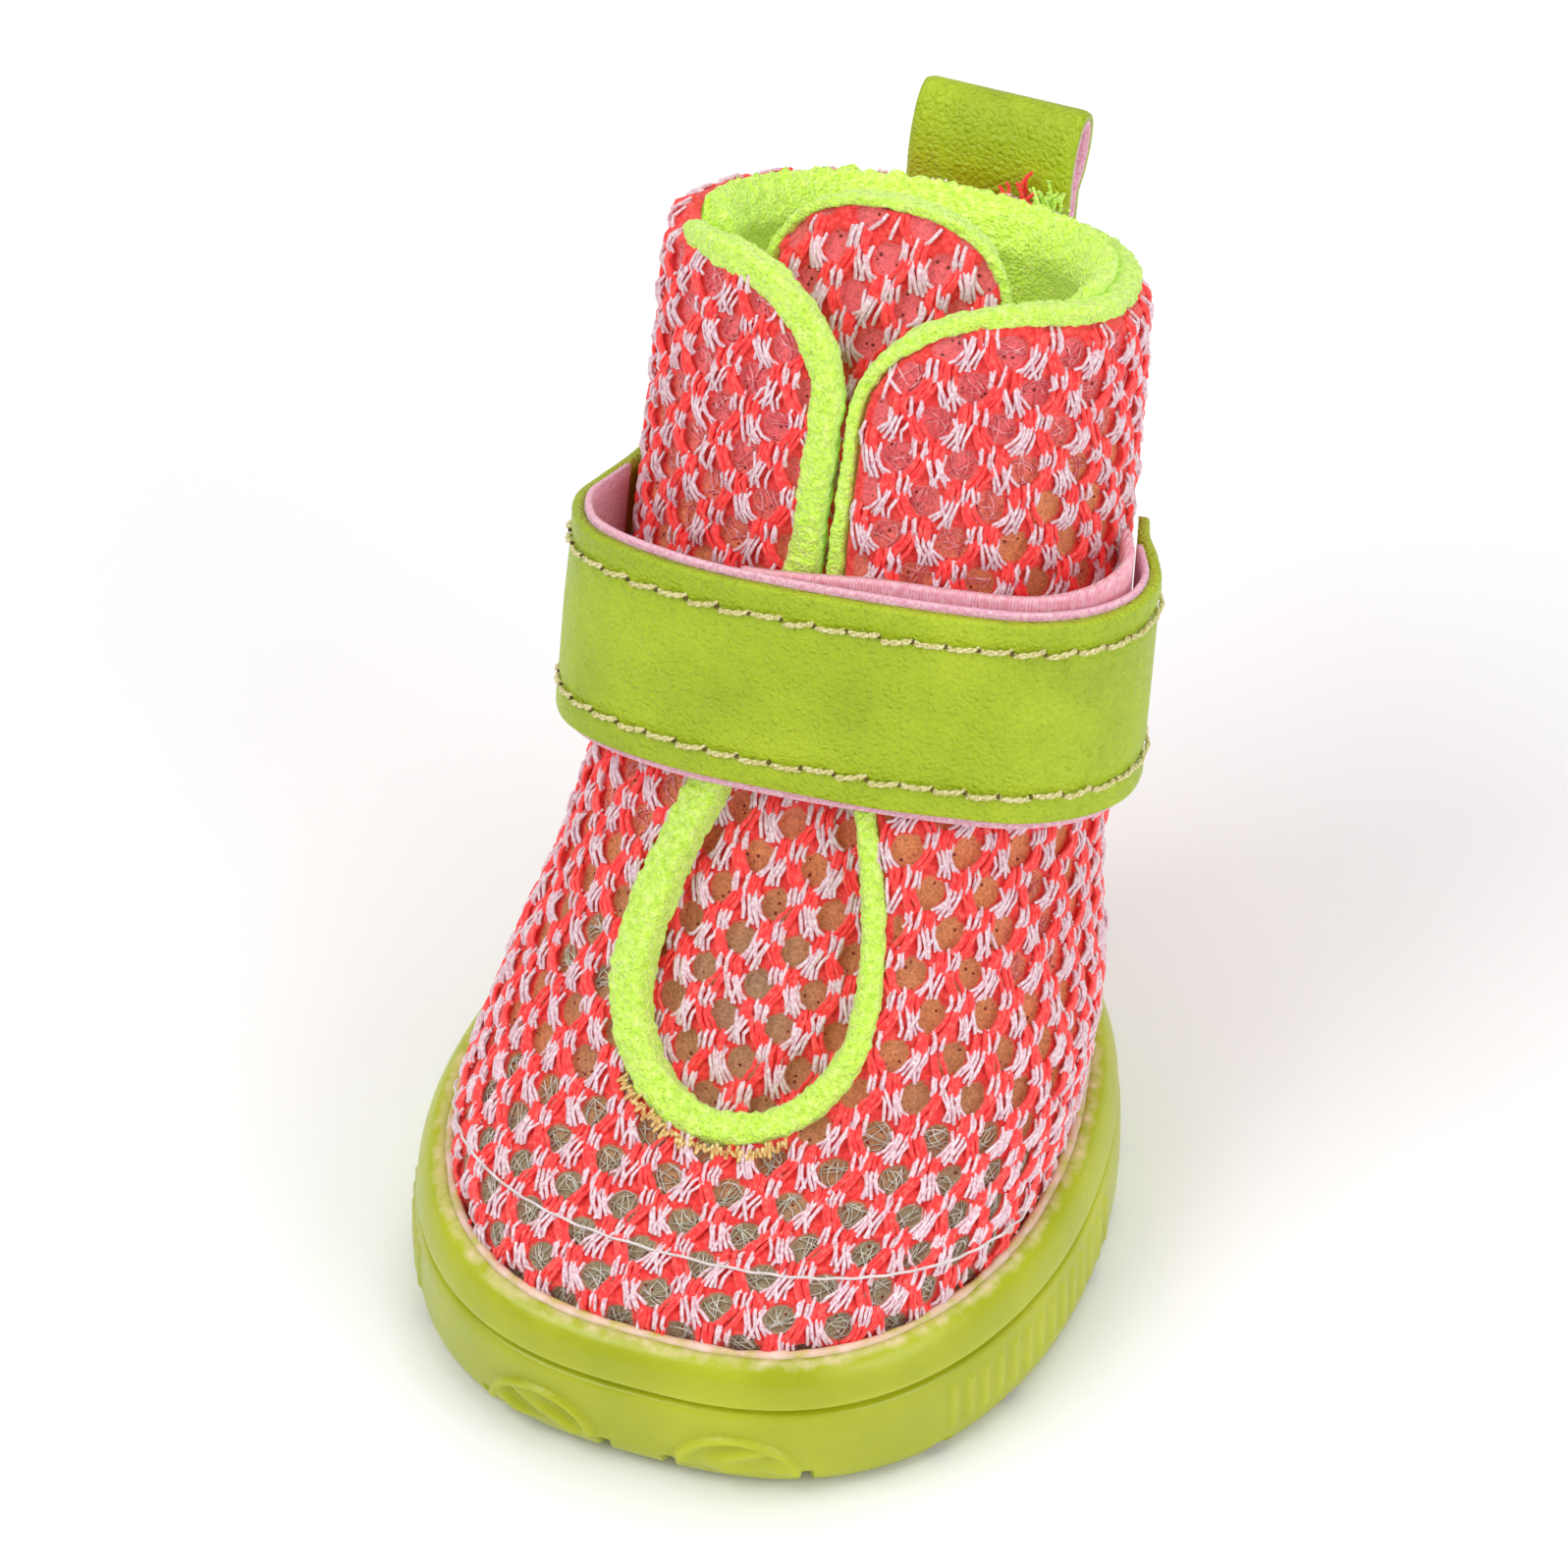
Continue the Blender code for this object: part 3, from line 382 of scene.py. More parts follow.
class Finish:
    """A Principled material whose colour wanders between tones at a scale in metres."""

    def __init__(self, name, tones, scale, glow=None, **sockets):
        self.material = bpy.data.materials.new(name)
        self.material.use_nodes = True
        self.tree = self.material.node_tree
        self.shader = self.tree.nodes["Principled BSDF"]
        if glow:
            sockets.update(Emission_Color=srgb(*glow[:3]), Emission_Strength=glow[3])
        for key, value in sockets.items():
            self.shader.inputs[key.replace("_", " ")].default_value = value
        self.place = self.node("TexCoord").outputs["Object"]
        wander = self.noise(scale, 4.0)
        stops = [(0.32 + 0.36 * i / (len(tones) - 1), srgb(*tone)) for i, tone in enumerate(tones)]
        self.feed(self.shader.inputs["Base Color"], self.ramp(wander, stops))
        rough = sockets["Roughness"]
        rough_range = self.span(wander, 0.3, 0.7, rough - 0.08, min(1.0, rough + 0.08))
        self.feed(self.shader.inputs["Roughness"], rough_range)

    def node(self, kind, inputs=None, **settings):
        """A new node, whose inputs are values or outputs of other nodes."""
        made = self.tree.nodes.new("ShaderNode" + kind)
        for key, value in settings.items():
            setattr(made, key, value)
        for key, value in (inputs or {}).items():
            self.feed(made.inputs[key], value)
        return made

    def feed(self, socket, value):
        if isinstance(value, bpy.types.NodeSocket):
            self.tree.links.new(value, socket)
        else:
            socket.default_value = value

    def noise(self, scale, detail=3.0):
        inputs = {"Scale": 1.0 / scale, "Detail": detail, "Vector": self.place}
        return self.node("TexNoise", inputs).outputs["Fac"]

    def cells(self, scale, feature="F1"):
        inputs = {"Scale": 1.0 / scale, "Vector": self.place}
        return self.node("TexVoronoi", inputs, feature=feature).outputs["Distance"]

    def attribute(self, name):
        return self.node("Attribute", attribute_name=name).outputs["Fac"]

    def ramp(self, factor, stops):
        """Colour ramp through stops of place and colour."""
        made = self.node("ValToRGB", {"Fac": factor})
        for element, stop in zip(made.color_ramp.elements, (stops[0], stops[-1])):
            element.position, element.color = stop
        for place, colour in stops[1:-1]:
            made.color_ramp.elements.new(place).color = colour
        return made.outputs["Color"]

    def span(self, value, low, high, to_low=0.0, to_high=1.0):
        ends = {"From Min": low, "From Max": high, "To Min": to_low, "To Max": to_high}
        return self.node("MapRange", {"Value": value, **ends}).outputs["Result"]

    def product(self, a, b):
        return self.node("Math", {0: a, 1: b}, operation="MULTIPLY").outputs["Value"]

    def blend(self, factor, colour, low, high):
        """Blends the base colour towards another one where a factor rises from low to high."""
        base = self.shader.inputs["Base Color"]
        mix = self.node("Mix", data_type="RGBA")
        self.feed(mix.inputs["Factor"], self.span(factor, low, high))
        self.feed(mix.inputs["A"], base.links[0].from_socket)
        self.feed(mix.inputs["B"], colour)
        self.feed(base, mix.outputs["Result"])

    def bump(self, height, distance):
        """Adds a height to the material's chain of bumps."""
        normal = self.shader.inputs["Normal"]
        made = self.node("Bump", {"Distance": distance, "Strength": 1.0, "Height": height})
        if normal.links:
            self.feed(made.inputs["Normal"], normal.links[0].from_socket)
        self.feed(normal, made.outputs["Normal"])


# %% [markdown]
# The knit's two yarns are bright filament: the coral one is fluorescent, so it gets a little light
# of its own, and the lilac white one is smoother and catches small highlights.

# %% Yarn, ground and lining materials
coral = Finish("coral_yarn", ((244, 40, 44), (255, 62, 60), (255, 108, 100)), 0.35 * MM,
               glow=(255, 40, 40, 0.12), Roughness=0.5, Sheen_Weight=0.2)
lilac = Finish("lilac_white_yarn", ((226, 170, 184), (242, 210, 220), (254, 240, 244)), 0.25 * MM,
               Roughness=0.4, Sheen_Weight=0.2)
for yarn in (coral, lilac):
    yarn.bump(yarn.noise(0.07 * MM), 0.05 * MM)

# the ground: coral on its pillars, and in a hole a floor whose colour goes by its zone; low by the sole that
# floor is white backing painted grey-green, as painted shade with a painted green reflection of the sole
# the ground's faint glow is painted light that lifts its hole floors out of their shade
ground = Finish("knit_ground", ((222, 34, 36), (248, 58, 54), (255, 98, 88)), 0.35 * MM,
                glow=(255, 60, 60, 0.05), Roughness=0.8, Sheen_Weight=0.2)
# the zone at 1 is that painted shade and painted green reflection
ZONES = ((0.0, (246, 120, 126)), (0.35, (222, 148, 96)), (0.62, (196, 138, 90)), (1.0, (156, 156, 124)))
in_hole = ground.attribute("hole")
floor_colour = ground.ramp(ground.attribute("zone"), [(place, srgb(*c)) for place, c in ZONES])
fibre_noise = ground.noise(0.22 * MM, 6.0)
tone = ground.ramp(fibre_noise, [(0.35, (0.66, 0.62, 0.58, 1)), (0.62, (1.25, 1.2, 1.15, 1))])
shade = ground.node("Mix", data_type="RGBA", blend_type="MULTIPLY")
for socket, value in (("Factor", 0.8), ("A", floor_colour), ("B", tone)):
    ground.feed(shade.inputs[socket], value)
ground.blend(in_hole, shade.outputs["Result"], 0.35, 0.7)
# dark brown dots in the hole floors: painted shade in small pits of the backing
pit_shade = ground.span(ground.cells(0.74 * MM), 0.24, 0.15)
ground.blend(ground.product(pit_shade, in_hole), srgb(112, 44, 30), 0.45, 0.9)
ground.bump(fibre_noise, 0.12 * MM)
ground.bump(ground.noise(0.08 * MM), 0.06 * MM)

backing_knit = Finish("pink_backing_cloth", ((196, 70, 78), (226, 104, 104)), 0.6 * MM,
                      Roughness=0.9, Sheen_Weight=0.3)
backing_knit.bump(backing_knit.cells(0.5 * MM), 0.15 * MM)
print("knit materials", [f.material.name for f in (coral, lilac, ground, backing_knit)])

# %% [markdown]
# The edges are bound in terry tape, cut from looped cloth: a soft matt surface with dense small
# bumps, and darker patches that are painted shade of a few pinholes between the loops. It is neon, so it
# too glows a little, and the lining's copy glows more, painted light that lifts it out of the shade
# inside the shaft. The strap's grain is the borders between cells, as in pressed leather, and light
# spreads under the rubber's skin, which is why the sole looks soft.

# %% Terry, grained leather, felt, rubber and thread materials
def terry_cloth(name, glow_strength):
    cloth = Finish(name, ((190, 236, 56), (212, 252, 96), (230, 255, 136)), 0.45 * MM,
                   glow=(206, 255, 70, glow_strength), Roughness=0.95, Sheen_Weight=0.4)
    # darker olive patches: painted shade of pinholes between the loops
    cloth.blend(cloth.noise(0.28 * MM, 2.0), srgb(140, 170, 30), 0.66, 0.78)
    cloth.bump(cloth.cells(0.26 * MM), 0.24 * MM)
    cloth.bump(cloth.noise(0.1 * MM), 0.06 * MM)
    return cloth


terry = terry_cloth("neon_terry", 0.10)
# the lining's copy glows more: painted light that lifts it out of the shade inside the shaft
lit_lining_terry = terry_cloth("neon_terry_lining", 0.24)

leather = Finish("grained_lime_leather", ((158, 180, 18), (168, 191, 22), (178, 200, 32)), 7.0 * MM,
                 Roughness=0.40, Specular_IOR_Level=0.45)
leather.bump(leather.cells(0.50 * MM, "DISTANCE_TO_EDGE"), 0.24 * MM)
leather.bump(leather.noise(0.30 * MM), 0.16 * MM)
leather.bump(leather.noise(3.0 * MM, 2.0), 0.14 * MM)

felt = Finish("pink_felt", ((222, 150, 176), (240, 178, 198), (250, 206, 220)), 0.25 * MM,
              Roughness=0.95, Sheen_Weight=0.5)
felt.bump(felt.noise(0.12 * MM, 5.0), 0.12 * MM)

RIB_SPACING = 0.42 * MM
webbing_cloth = Finish("pink_ribbed_webbing", ((242, 156, 174), (252, 180, 194), (255, 204, 214)),
                       0.4 * MM, Roughness=0.85, Sheen_Weight=0.3)
ribs = webbing_cloth.node("TexWave", {"Scale": 0.314 / RIB_SPACING, "Vector": webbing_cloth.place},
                          bands_direction="X")
webbing_cloth.bump(ribs.outputs["Fac"], 0.14 * MM)

# glue leaves a pale haze on the rubber, close under its rim
rubber = Finish("soft_lime_rubber", ((160, 170, 14), (170, 178, 18), (180, 188, 26)), 9.0 * MM,
                Roughness=0.34, Subsurface_Weight=0.55, Subsurface_Radius=(1.0, 1.0, 0.25),
                Subsurface_Scale=2.6 * MM, Coat_Weight=0.06, Coat_Roughness=0.15)
object_height = rubber.node("SeparateXYZ", {"Vector": rubber.place}).outputs["Z"]
haze = rubber.product(rubber.span(object_height, 10.0 * MM, 10.75 * MM), rubber.noise(1.1 * MM, 6.0))
rubber.blend(haze, srgb(226, 206, 160), 0.36, 0.78)
rubber.bump(rubber.noise(1.6 * MM), 0.10 * MM)
rubber.bump(rubber.noise(0.25 * MM, 2.0), 0.012 * MM)

thread = Finish("tan_thread", ((170, 156, 80), (212, 202, 136), (240, 234, 190)), 0.16 * MM,
                Roughness=0.45)
golden = Finish("golden_thread", ((190, 128, 66), (224, 186, 108), (248, 232, 176)), 0.25 * MM,
                Roughness=0.45)
# dark pins in the needle holes: painted shade
needle_hole = Finish("needle_hole", ((72, 58, 14), (104, 88, 24)), 0.3 * MM, Roughness=0.8)
nylon = Finish("clear_white_thread", ((226, 216, 214), (250, 246, 244)), 1.2 * MM,
               Roughness=0.25, Transmission_Weight=0.25)
pink_fibre = Finish("pink_spacer_fibre", ((226, 90, 100), (246, 150, 156), (255, 206, 206)), 0.5 * MM,
                    Roughness=0.4)
# white fibres by the sole, painted grey-green: painted shade with a green reflection of the sole
shaded_white_fibre = Finish("grey_spacer_fibre", ((168, 176, 150), (206, 208, 190), (232, 230, 220)), 0.5 * MM,
                    Roughness=0.4)
glue = Finish("dried_glue", ((196, 190, 96), (224, 190, 160), (240, 206, 190)), 1.6 * MM,
              Roughness=0.3, Subsurface_Weight=0.4, Subsurface_Scale=1.0 * MM)
glue.bump(glue.noise(0.5 * MM, 4.0), 0.12 * MM)
foam = Finish("grey_foam_cloth", ((128, 128, 120), (150, 150, 142)), 0.8 * MM,
              Roughness=0.95, Sheen_Weight=0.3)
foam.bump(foam.cells(0.7 * MM), 0.2 * MM)
print(len(bpy.data.materials), "materials, with those of the solids")

# %% [markdown]
# The sole is one moulding: a cup with a lip band above a parting groove, half-round pads at the toe,
# fine upright ribs on its sides and grooves across its tread. Its side is a profile, swept round the
# outline, and the relief is added to the sweep as steps in and out along the outline's normal.

# %% Sole
GROOVE_HEIGHT, GROOVE_DEPTH, LIP_STEP = 0.5 * MM, 0.6 * MM, 0.3 * MM
TOE_SPRING, SPRING_START = 0.9 * MM, 13.0 * MM
PAD_RADIUS, PAD_FOOT, PAD_ANGLE = 4.2 * MM, 0.9 * MM, math.radians(12.4)
PAD_RISE, PAD_SWIRL, PAD_BEAD = 0.28 * MM, 0.24 * MM, 0.16 * MM
PAD_SLIT_PLACE, PAD_SLIT_DEPTH = 1.12, 1.0 * MM  # the place is in pad radii from the pad's middle
RIB_FIRST, RIB_LAST, RIB_COUNT = math.radians(52.0), math.radians(100.0), 14
RIB_HALF_WIDTH, RIB_RISE = 0.45 * MM, 0.22 * MM
AROUND_SOLE = 620
OUTLINE_SQUARENESS = 2.6


def bare_outline(angle):
    reach = np.where(np.cos(angle) > 0, SOLE_TOE, SOLE_HEEL)
    x = SOLE_WIDTH / 2 * np.sign(np.sin(angle)) * np.abs(np.sin(angle)) ** (2 / OUTLINE_SQUARENESS)
    return np.stack([x, -reach * np.cos(angle), np.zeros_like(x)], -1)


def away(vectors, points):
    """Turns vectors so that they point away from the origin of the points."""
    return np.where(np.sum(vectors * points, -1, keepdims=True) < 0, -vectors, vectors)


def outline(angle, inset):
    """The sole's outline in plan, moved in along its normal."""
    plain = bare_outline(angle)
    tangent = bare_outline(angle + 0.01) - bare_outline(angle - 0.01)
    out = unit(np.stack([-tangent[..., 1], tangent[..., 0], np.zeros_like(tangent[..., 0])], -1))
    return plain - away(out, plain) * np.asarray(inset)[..., None]


def flat_ring(angles, inset, height, share=1.0):
    """A ring of the outline at a height, drawn together by a share."""
    ring = outline(angles, inset) * share
    ring[:, 2] = height
    return ring


def bottom_lift(y):
    return TOE_SPRING * (np.maximum(0.0, -y - SPRING_START) / (SOLE_TOE - SPRING_START)) ** 2


def sole_side():
    """The side's profile as inset and height, rounded by a fine curve through its corners."""
    low, high = WALL_HEIGHT, WALL_HEIGHT + GROOVE_HEIGHT
    lip = RIM_HEIGHT - high
    corners = np.array((
        (1.5 * MM, 0.0), (0.9 * MM, 0.15 * MM), (0.55 * MM, 0.45 * MM), (0.25 * MM, 1.0 * MM),
        (0.1 * MM, 1.7 * MM), (0.02 * MM, 3.0 * MM), (0.0, 4.3 * MM), (0.02 * MM, 5.4 * MM),
        (0.1 * MM, 6.4 * MM), (LIP_STEP, low - 0.15 * MM), (LIP_STEP + 0.35 * MM, low),
        (LIP_STEP + GROOVE_DEPTH, low + 0.2 * MM),
        (LIP_STEP + GROOVE_DEPTH, high - 0.2 * MM), (LIP_STEP + 0.3 * MM, high),
        (0.24 * MM, high + 0.12 * MM), (0.22 * MM, high + lip * 0.16), (0.34 * MM, high + lip * 0.36),
        (0.52 * MM, high + lip * 0.56), (0.80 * MM, high + lip * 0.75), (1.15 * MM, high + lip * 0.90),
        (1.55 * MM, RIM_HEIGHT - 0.08 * MM), (1.95 * MM, RIM_HEIGHT), (2.25 * MM, RIM_HEIGHT - 0.12 * MM),
        (CUP_WALL, RIM_HEIGHT - 0.6 * MM), (CUP_WALL, RIM_HEIGHT - 2.0 * MM),
        (CUP_WALL, FOOTBED_HEIGHT + 0.6 * MM), (CUP_WALL + 0.5 * MM, FOOTBED_HEIGHT)))
    places = np.linspace(0, len(corners) - 1, 2 * len(corners) - 1)
    return np.stack([smooth(corners[:, 0], places), smooth(corners[:, 1], places)], -1)


sole_angles = 2 * math.pi * (np.arange(AROUND_SOLE) + 0.5) / AROUND_SOLE
rim_line = outline(sole_angles, 0.0)
arc = path_length(rim_line)
signed_arc = np.where(sole_angles > math.pi, arc - arc[-1], arc)


def arc_at(angle):
    return np.interp(angle % (2 * math.pi), sole_angles, arc)


def sole_relief(height):
    """How far the wall stands proud at each station of the outline, at a height."""
    proud = np.zeros(AROUND_SOLE)
    lift = bottom_lift(rim_line[:, 1])
    for side in (-1, 1):
        centre = side * arc_at(PAD_ANGLE)
        a = (signed_arc - centre) / PAD_RADIUS
        up = (height - lift - PAD_FOOT) / (PAD_RADIUS - PAD_FOOT)
        radius = np.sqrt(a ** 2 + np.maximum(up, 0) ** 2)
        inside = soft_step(-radius, -1.03, -0.96) * soft_step(height - lift, PAD_FOOT - 0.5 * MM, PAD_FOOT)
        waves = np.sin(a * 6.0 + 3.0 * np.sin(up * 3.4 + side))
        swirl = PAD_SWIRL * waves * soft_step(-radius, -0.84, -0.7)
        bead = PAD_BEAD * soft_step(radius, 0.80, 0.88)
        proud += inside * (PAD_RISE + swirl + bead)
        for turn in (-1, 1):
            off = turn * PAD_RADIUS * PAD_SLIT_PLACE
            slit = np.abs(signed_arc - centre - off)
            across_it = PAD_SLIT_DEPTH * soft_step(-slit, -0.42 * MM, -0.26 * MM)
            not_in_middle = abs(centre + off) > 1.3 * MM
            proud -= across_it * soft_step(-height, -1.6 * MM, -1.3 * MM) * not_in_middle
        ribs = side * arc_at(np.linspace(RIB_FIRST, RIB_LAST, RIB_COUNT))
        nearest = np.min(np.abs(signed_arc[:, None] - ribs[None, :]), axis=1)
        round_rib = np.sqrt(np.maximum(0.0, 1 - (nearest / RIB_HALF_WIDTH) ** 2))
        ends = soft_step(height, 1.9 * MM, 2.3 * MM) * soft_step(-height, -6.2 * MM, -5.8 * MM)
        proud += RIB_RISE * round_rib * ends
    return proud


FINE_STEP = 0.22 * MM  # spacing of the rings up the side, so that pads and ribs show
sole_rings = []
for share in (0.3, 0.6, 0.85, 0.96):
    ring = outline(sole_angles, 1.5 * MM) * share
    ring[:, 2] = bottom_lift(ring[:, 1])
    sole_rings.append(ring)
side_profile = sole_side()
filled = [side_profile[0]]
for a, b in zip(side_profile, side_profile[1:]):
    parts = max(1, int(math.ceil(np.linalg.norm(b - a) / FINE_STEP))) if b[1] < WALL_HEIGHT else 1
    filled += [a + (b - a) * k / parts for k in range(1, parts + 1)]
for inset, height in filled:
    on_wall = inset < CUP_WALL - 0.1 * MM and height < WALL_HEIGHT
    ring = outline(sole_angles, inset - (sole_relief(height) if on_wall else 0.0))
    ring[:, 2] = height + bottom_lift(ring[:, 1]) * max(0.0, 1 - height / WALL_HEIGHT)
    sole_rings.append(ring)
sole_rings += [flat_ring(sole_angles, CUP_WALL, FOOTBED_HEIGHT, share) for share in (0.7, 0.3)]
sole = loft("sole_cup", sole_rings, [rubber])

# %% [markdown]
# The tread's grooves and the low arch go right across, so they are cut with a Boolean, as a mould's
# bars would leave them. The result is kept as a plain mesh and the modifier goes.

# %% Tread
TREAD_GROOVE, LUG_PITCH, FIRST_GROOVE, LUG_HEIGHT = 1.5 * MM, 6.2 * MM, 15.5 * MM, 1.1 * MM
ARCH_MIDDLE, ARCH_HALF_LENGTH, ARCH_HEIGHT = 9.3 * MM, 4.2 * MM, 0.6 * MM
cut_verts, cut_faces = [], []


def add_bar(section):
    """A bar right across the sole, from a section of (y, z) points."""
    count = len(section)
    left_end = [len(cut_verts) + i for i in range(count)]
    right_end = [i + count for i in left_end]
    for x in (-SOLE_WIDTH, SOLE_WIDTH):
        cut_verts.extend((x, y, z) for y, z in section)
    for i in range(count):
        k = (i + 1) % count
        cut_faces.append((left_end[i], left_end[k], right_end[k], right_end[i]))
    cut_faces.extend([left_end[::-1], right_end])


for pitches in (0, 1, 3, 5):
    y = pitches * LUG_PITCH - FIRST_GROOVE
    top = float(bottom_lift(np.array(y))) + LUG_HEIGHT
    half = TREAD_GROOVE / 2
    add_bar([(y - half, -MM), (y + half, -MM), (y + half, top), (y - half, top)])
arch = [(ARCH_MIDDLE + ARCH_HALF_LENGTH * t, ARCH_HEIGHT * (0.5 + 0.5 * math.cos(math.pi * t)))
        for t in np.linspace(-0.98, 0.98, 25)]
add_bar(arch + [(arch[-1][0], -MM), (arch[0][0], -MM)])
cutter = turn_out(add_piece("tread_bars", cut_verts, cut_faces, []))
cut = sole.modifiers.new("tread", "BOOLEAN")
cut.operation, cut.solver, cut.object = "DIFFERENCE", "EXACT", cutter


def apply_modifiers(obj):
    """Replaces an object's mesh by what its modifiers make of it, and removes them."""
    made = bpy.data.meshes.new_from_object(obj.evaluated_get(bpy.context.evaluated_depsgraph_get()))
    obj.modifiers.clear()
    obj.data = made
    return obj


apply_modifiers(sole)
bpy.data.objects.remove(cutter, do_unlink=True)
sole.data.shade_smooth()
sole.data.set_sharp_from_angle(angle=math.radians(50))
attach(sole, "root")
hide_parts("outsole")
print("sole after its tread", len(sole.data.polygons), "faces")

# %% [markdown]
# The mesh is a warp knit: pairs of wales run side by side down a pillar, part, and join their other
# neighbours in the next row, which leaves a staggered grid of round holes. Two functions of a place
# on the cloth say how deep a hole is there and what shows at its bottom.

# %% Knit layout
PITCH, ROW_PITCH, ROW_PHASE = 4.3 * MM, 2.75 * MM, 0.6 * MM
HOLE_WIDTH, HOLE_HEIGHT = 1.16 * MM, 1.14 * MM
YARN_RADIUS, WHITE_RADIUS = 0.155 * MM, 0.135 * MM
print("holes every", round(PITCH / MM, 2), "mm across and", round(ROW_PITCH / MM, 2), "mm down")


def hole_depth(u, v):
    """1 in the middle of a hole of the knit, 0 on its pillars."""
    row = np.round((v - ROW_PHASE) / ROW_PITCH)
    best = np.full(np.shape(u), 9.0)
    for near in (row - 1, row, row + 1):
        stagger = (near % 2) * PITCH / 2
        du = (u - stagger + PITCH / 2) % PITCH - PITCH / 2
        dv = v - ROW_PHASE - near * ROW_PITCH
        best = np.minimum(best, np.sqrt((du / HOLE_WIDTH) ** 2 + (dv / HOLE_HEIGHT) ** 2))
    return 1 - soft_step(best, 0.86, 1.16)


def zone_of(points, v):
    """What shows at the bottom of a hole: 0 pink, 0.35 tan, 0.62 brown, 1 grey-green by the sole, white
    backing painted in shade with a green reflection of the sole.
    """
    x, y, z = points[..., 0], points[..., 1], points[..., 2]
    shaft = 0.36 * soft_step(v + 0.8 * np.abs(x), 16 * MM, 30 * MM)
    vamp = 0.26 * soft_step(-y, -10 * MM, 4 * MM)
    patches = 1 + 0.55 * field(points, 8 * MM, 7)
    # painted shade and green reflection: low on the upper near the cup's rim, at the front
    toe = soft_step(-(z - RIM_HEIGHT), -6.5 * MM, -3.6 * MM) * soft_step(-y, -4 * MM, 8 * MM)
    return np.clip((shaft + vamp) * patches * (1 - toe) + toe, 0, 1)


# %% [markdown]
# First comes the ground, the cloth's body, with its holes as real dimples, because a bump map would
# look flat from the side. The outer face needs a fine grid for the holes, the inner wall doesn't,
# so it has every third row and column only, and the borders are closed face by face.

# %% Upper's ground cloth
ACROSS, BELOW, COARSE = 306, 72, 3
LOWEST_ROW = 0.55  # the cloth starts inside the cup, below its rim
HOLE_SINK, KNIT_SINK, FUZZ = 0.52 * MM, 0.10 * MM, 0.04 * MM


def upper_rows():
    """Rows of the cloth: the right edge's angle, the row, its corner share, the left edge's angle."""
    first = float(row_at(THROAT_START))
    rows = [(0.0, LOWEST_ROW + (first - LOWEST_ROW) * i / BELOW, 0.0, 0.0) for i in range(BELOW)]
    right, left = throat_half(30, 75, 32), throat_half(30, 75, 32, LEFT_CORNER_WIDTH)
    for x, left_x, length in zip(right[0], left[0], right[1]):
        row = row_at(length)
        rows.append((angle_at(x, row), row, corner_share(length), angle_at(left_x, row)))
    while (len(rows) - 1) % COARSE:
        rows.insert(1, (0.0, (rows[0][1] + rows[1][1]) / 2, 0.0, 0.0))
    return np.array(rows, float)


rows = upper_rows()
tip = int(np.argmax(rows[:, 0] > 0)) - 1
tip -= tip % COARSE
count = len(rows)
columns = np.arange(ACROSS + 1)[None, :]
edge, row, share, left_edge = rows[:, 0:1], rows[:, 1:2], rows[:, 2:3], rows[:, 3:4]
angles = edge + (2 * math.pi - edge - left_edge) * columns / ACROSS
angles = np.arctan2(np.sin(angles), np.cos(angles))
wall_rows = mesh_edge(angles, row, share * edge_cover(angles))
cloth_u, cloth_v = cloth_grid(angles, wall_rows)
surface = form(angles, wall_rows)
edge_distance = from_edge(surface, angles, wall_rows, cloth_v)
holes = hole_depth(cloth_u, cloth_v) * soft_step(edge_distance, 0.2 * MM, 0.8 * MM)
round_over = edge_sink(edge_distance, wall_rows)
fuzz = FUZZ * field(surface, 0.3 * MM, 3)
outer = skin(angles, wall_rows, KNIT_SINK + HOLE_SINK * holes + round_over - fuzz)
inner = skin(angles, wall_rows, WALL)[::COARSE, ::COARSE]
zone = zone_of(surface, cloth_v)

wide = ACROSS // COARSE
outer_id = np.arange(count * (ACROSS + 1)).reshape(count, ACROSS + 1)
outer_id[:tip + 1, ACROSS] = outer_id[:tip + 1, 0]
inner_base = count * (ACROSS + 1)
inner_id = inner_base + np.arange(inner.shape[0] * inner.shape[1]).reshape(inner.shape[:2])
inner_tip = tip // COARSE
inner_id[:inner_tip + 1, wide] = inner_id[:inner_tip + 1, 0]


def grid_quads(ids, flip):
    a, b, c, d = ids[:-1, :-1], ids[:-1, 1:], ids[1:, 1:], ids[1:, :-1]
    quads = np.stack((a, b, c, d) if not flip else (d, c, b, a), -1)
    return quads.reshape(-1, 4).tolist()


# inside, terry reaches this many rows below the collar, measured near the back, over backing cloth
TERRY_ROWS, BACK_COLUMN = 2.3, 150
faces = grid_quads(outer_id, False)
materials_of = [0] * len(faces)
faces += grid_quads(inner_id, True)
for r in range(inner_id.shape[0] - 1):
    by_collar = wall_rows[min(r * COARSE, count - 1), BACK_COLUMN] > TOP - TERRY_ROWS
    materials_of += [1 if by_collar else 2] * wide


def close_border(outer_line, inner_line):
    """Joins a fine border to the coarse one behind it."""
    for k in range(len(inner_line) - 1):
        fine = [int(i) for i in outer_line[k * COARSE:(k + 1) * COARSE + 1]]
        faces.append(fine + [int(inner_line[k + 1]), int(inner_line[k])])
        materials_of.append(0)


